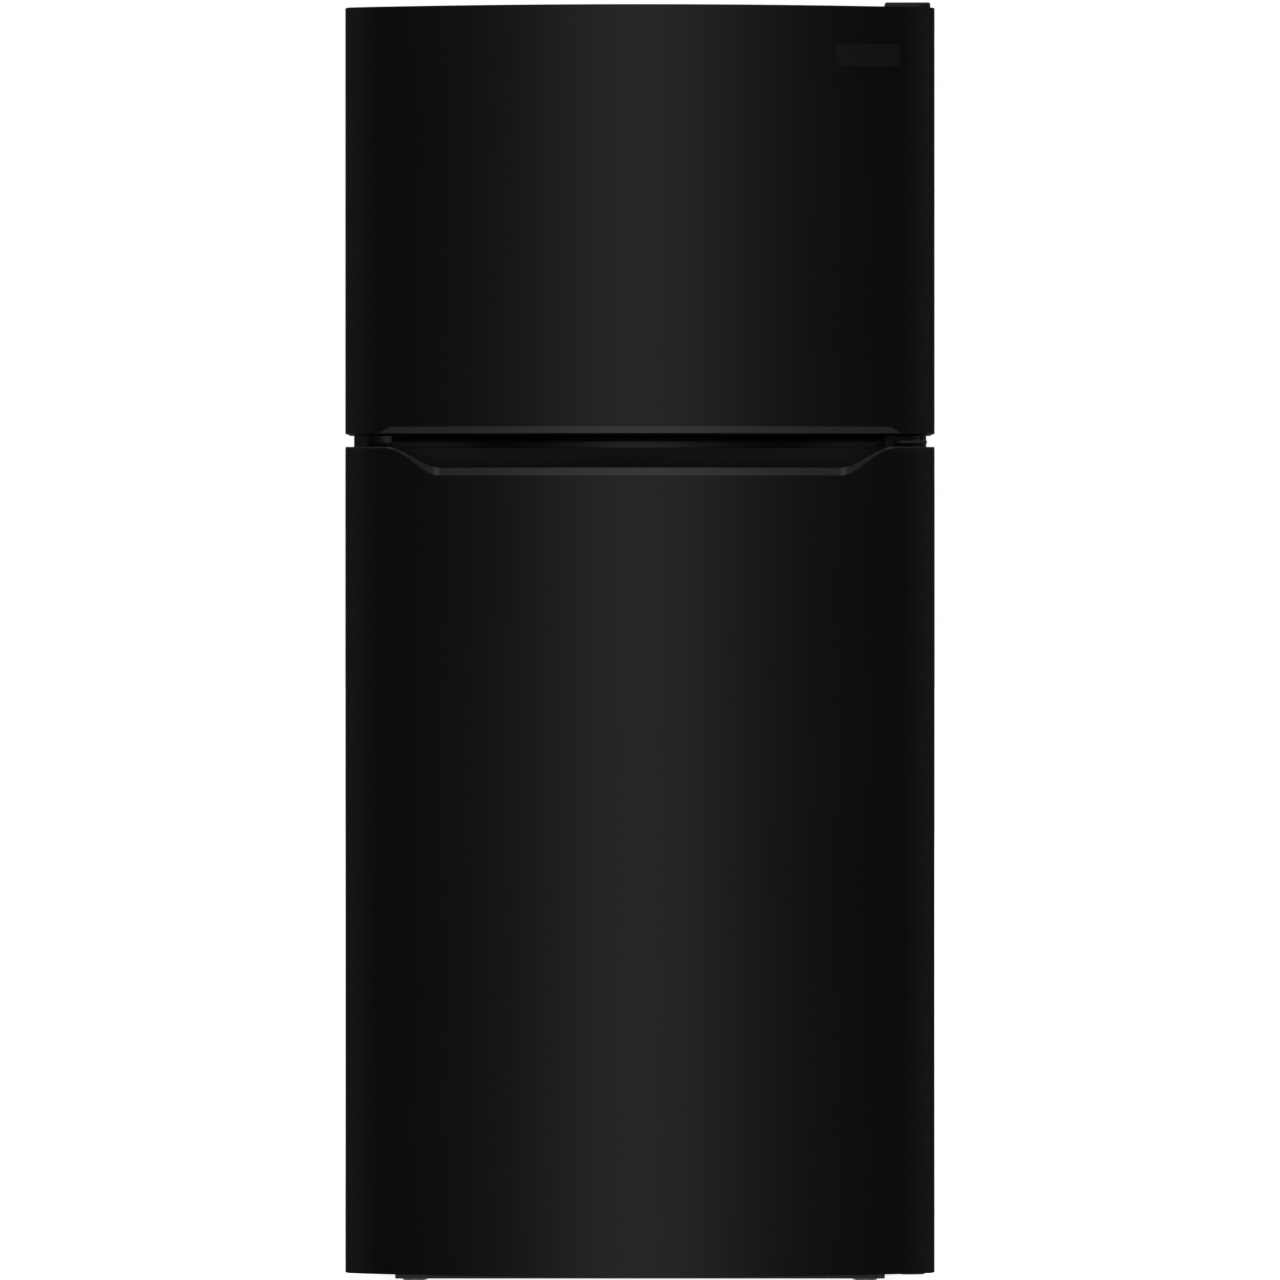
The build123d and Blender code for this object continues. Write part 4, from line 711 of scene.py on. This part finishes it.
# what the surfaces mirror: a soft bright panel behind the camera that falls off to both sides,
# a dark gap, and wider panels beyond it; angles are degrees round from straight ahead
mirrored = ((0, 0.50), (3.7, 0.38), (5.6, 0.26), (7.7, 0.155), (10, 0.10), (14, 0.05), (15.6, 0.018),
            (17.4, 0.05), (21, 0.17), (28, 0.13), (45, 0.07), (75, 0.14), (105, 0.16), (140, 0.08),
            (180, 0.12))
plainLight = 0.55
world = bpy.data.worlds.new("studio")
bpy.context.scene.world = world
world.use_nodes = True
world.node_tree.nodes.clear()
room = Graph(world.node_tree)
way = room.node("ShaderNodeTexCoord", {}, {}, "Generated")
parts = room.node("ShaderNodeSeparateXYZ", {}, {"Vector": way}).socket.node.outputs
across, along, up = (Signal(room, parts[axis]) for axis in "XYZ")
turn = room.node("ShaderNodeMath", {"operation": "ARCTAN2"}, {0: across, 1: along * -1})
turn = room.node("ShaderNodeMath", {"operation": "ABSOLUTE"}, {0: turn}) * (1 / math.pi)
stops = [(angle / 180, level) for angle, level in mirrored]
panel = room.node("ShaderNodeValToRGB", {"stops": stops}, {"Fac": turn})
# steep reflections see a ceiling that is brightest along the middle
ceiling = ((0, 0.95), (0.05, 0.78), (0.13, 0.34), (0.22, 0.26), (0.4, 0.3), (1, 0.5))
sideways = room.node("ShaderNodeMath", {"operation": "ABSOLUTE"}, {0: across})
overhead = room.node("ShaderNodeValToRGB", {"stops": ceiling}, {"Fac": sideways})
height = room.node("ShaderNodeMath", {"operation": "ABSOLUTE"}, {0: up})
risen = room.node("ShaderNodeMapRange", {}, {"Value": height, "From Min": 0.45, "From Max": 0.75})
lit = room.node("ShaderNodeMix", {"data_type": "RGBA"}, {0: risen, 6: panel, 7: overhead}, 2)
glossy = room.node("ShaderNodeBackground", {}, {"Color": lit, "Strength": 1.0})
plain = room.node("ShaderNodeBackground", {}, {"Color": (1, 1, 1, 1), "Strength": plainLight})
backdrop = room.node("ShaderNodeBackground", {}, {"Color": (1, 1, 1, 1), "Strength": 1.0})
rays = room.node("ShaderNodeLightPath", {}, {}).socket.node.outputs
shown = room.node("ShaderNodeMixShader", {}, {0: Signal(room, rays["Is Glossy Ray"]), 1: plain, 2: glossy})
shown = room.node("ShaderNodeMixShader", {}, {0: Signal(room, rays["Is Camera Ray"]), 1: shown, 2: backdrop})
end = world.node_tree.nodes.new("ShaderNodeOutputWorld")
world.node_tree.links.new(shown.socket, end.inputs["Surface"])
bpy.context.scene.view_settings.view_transform = "Standard"
print("studio set")
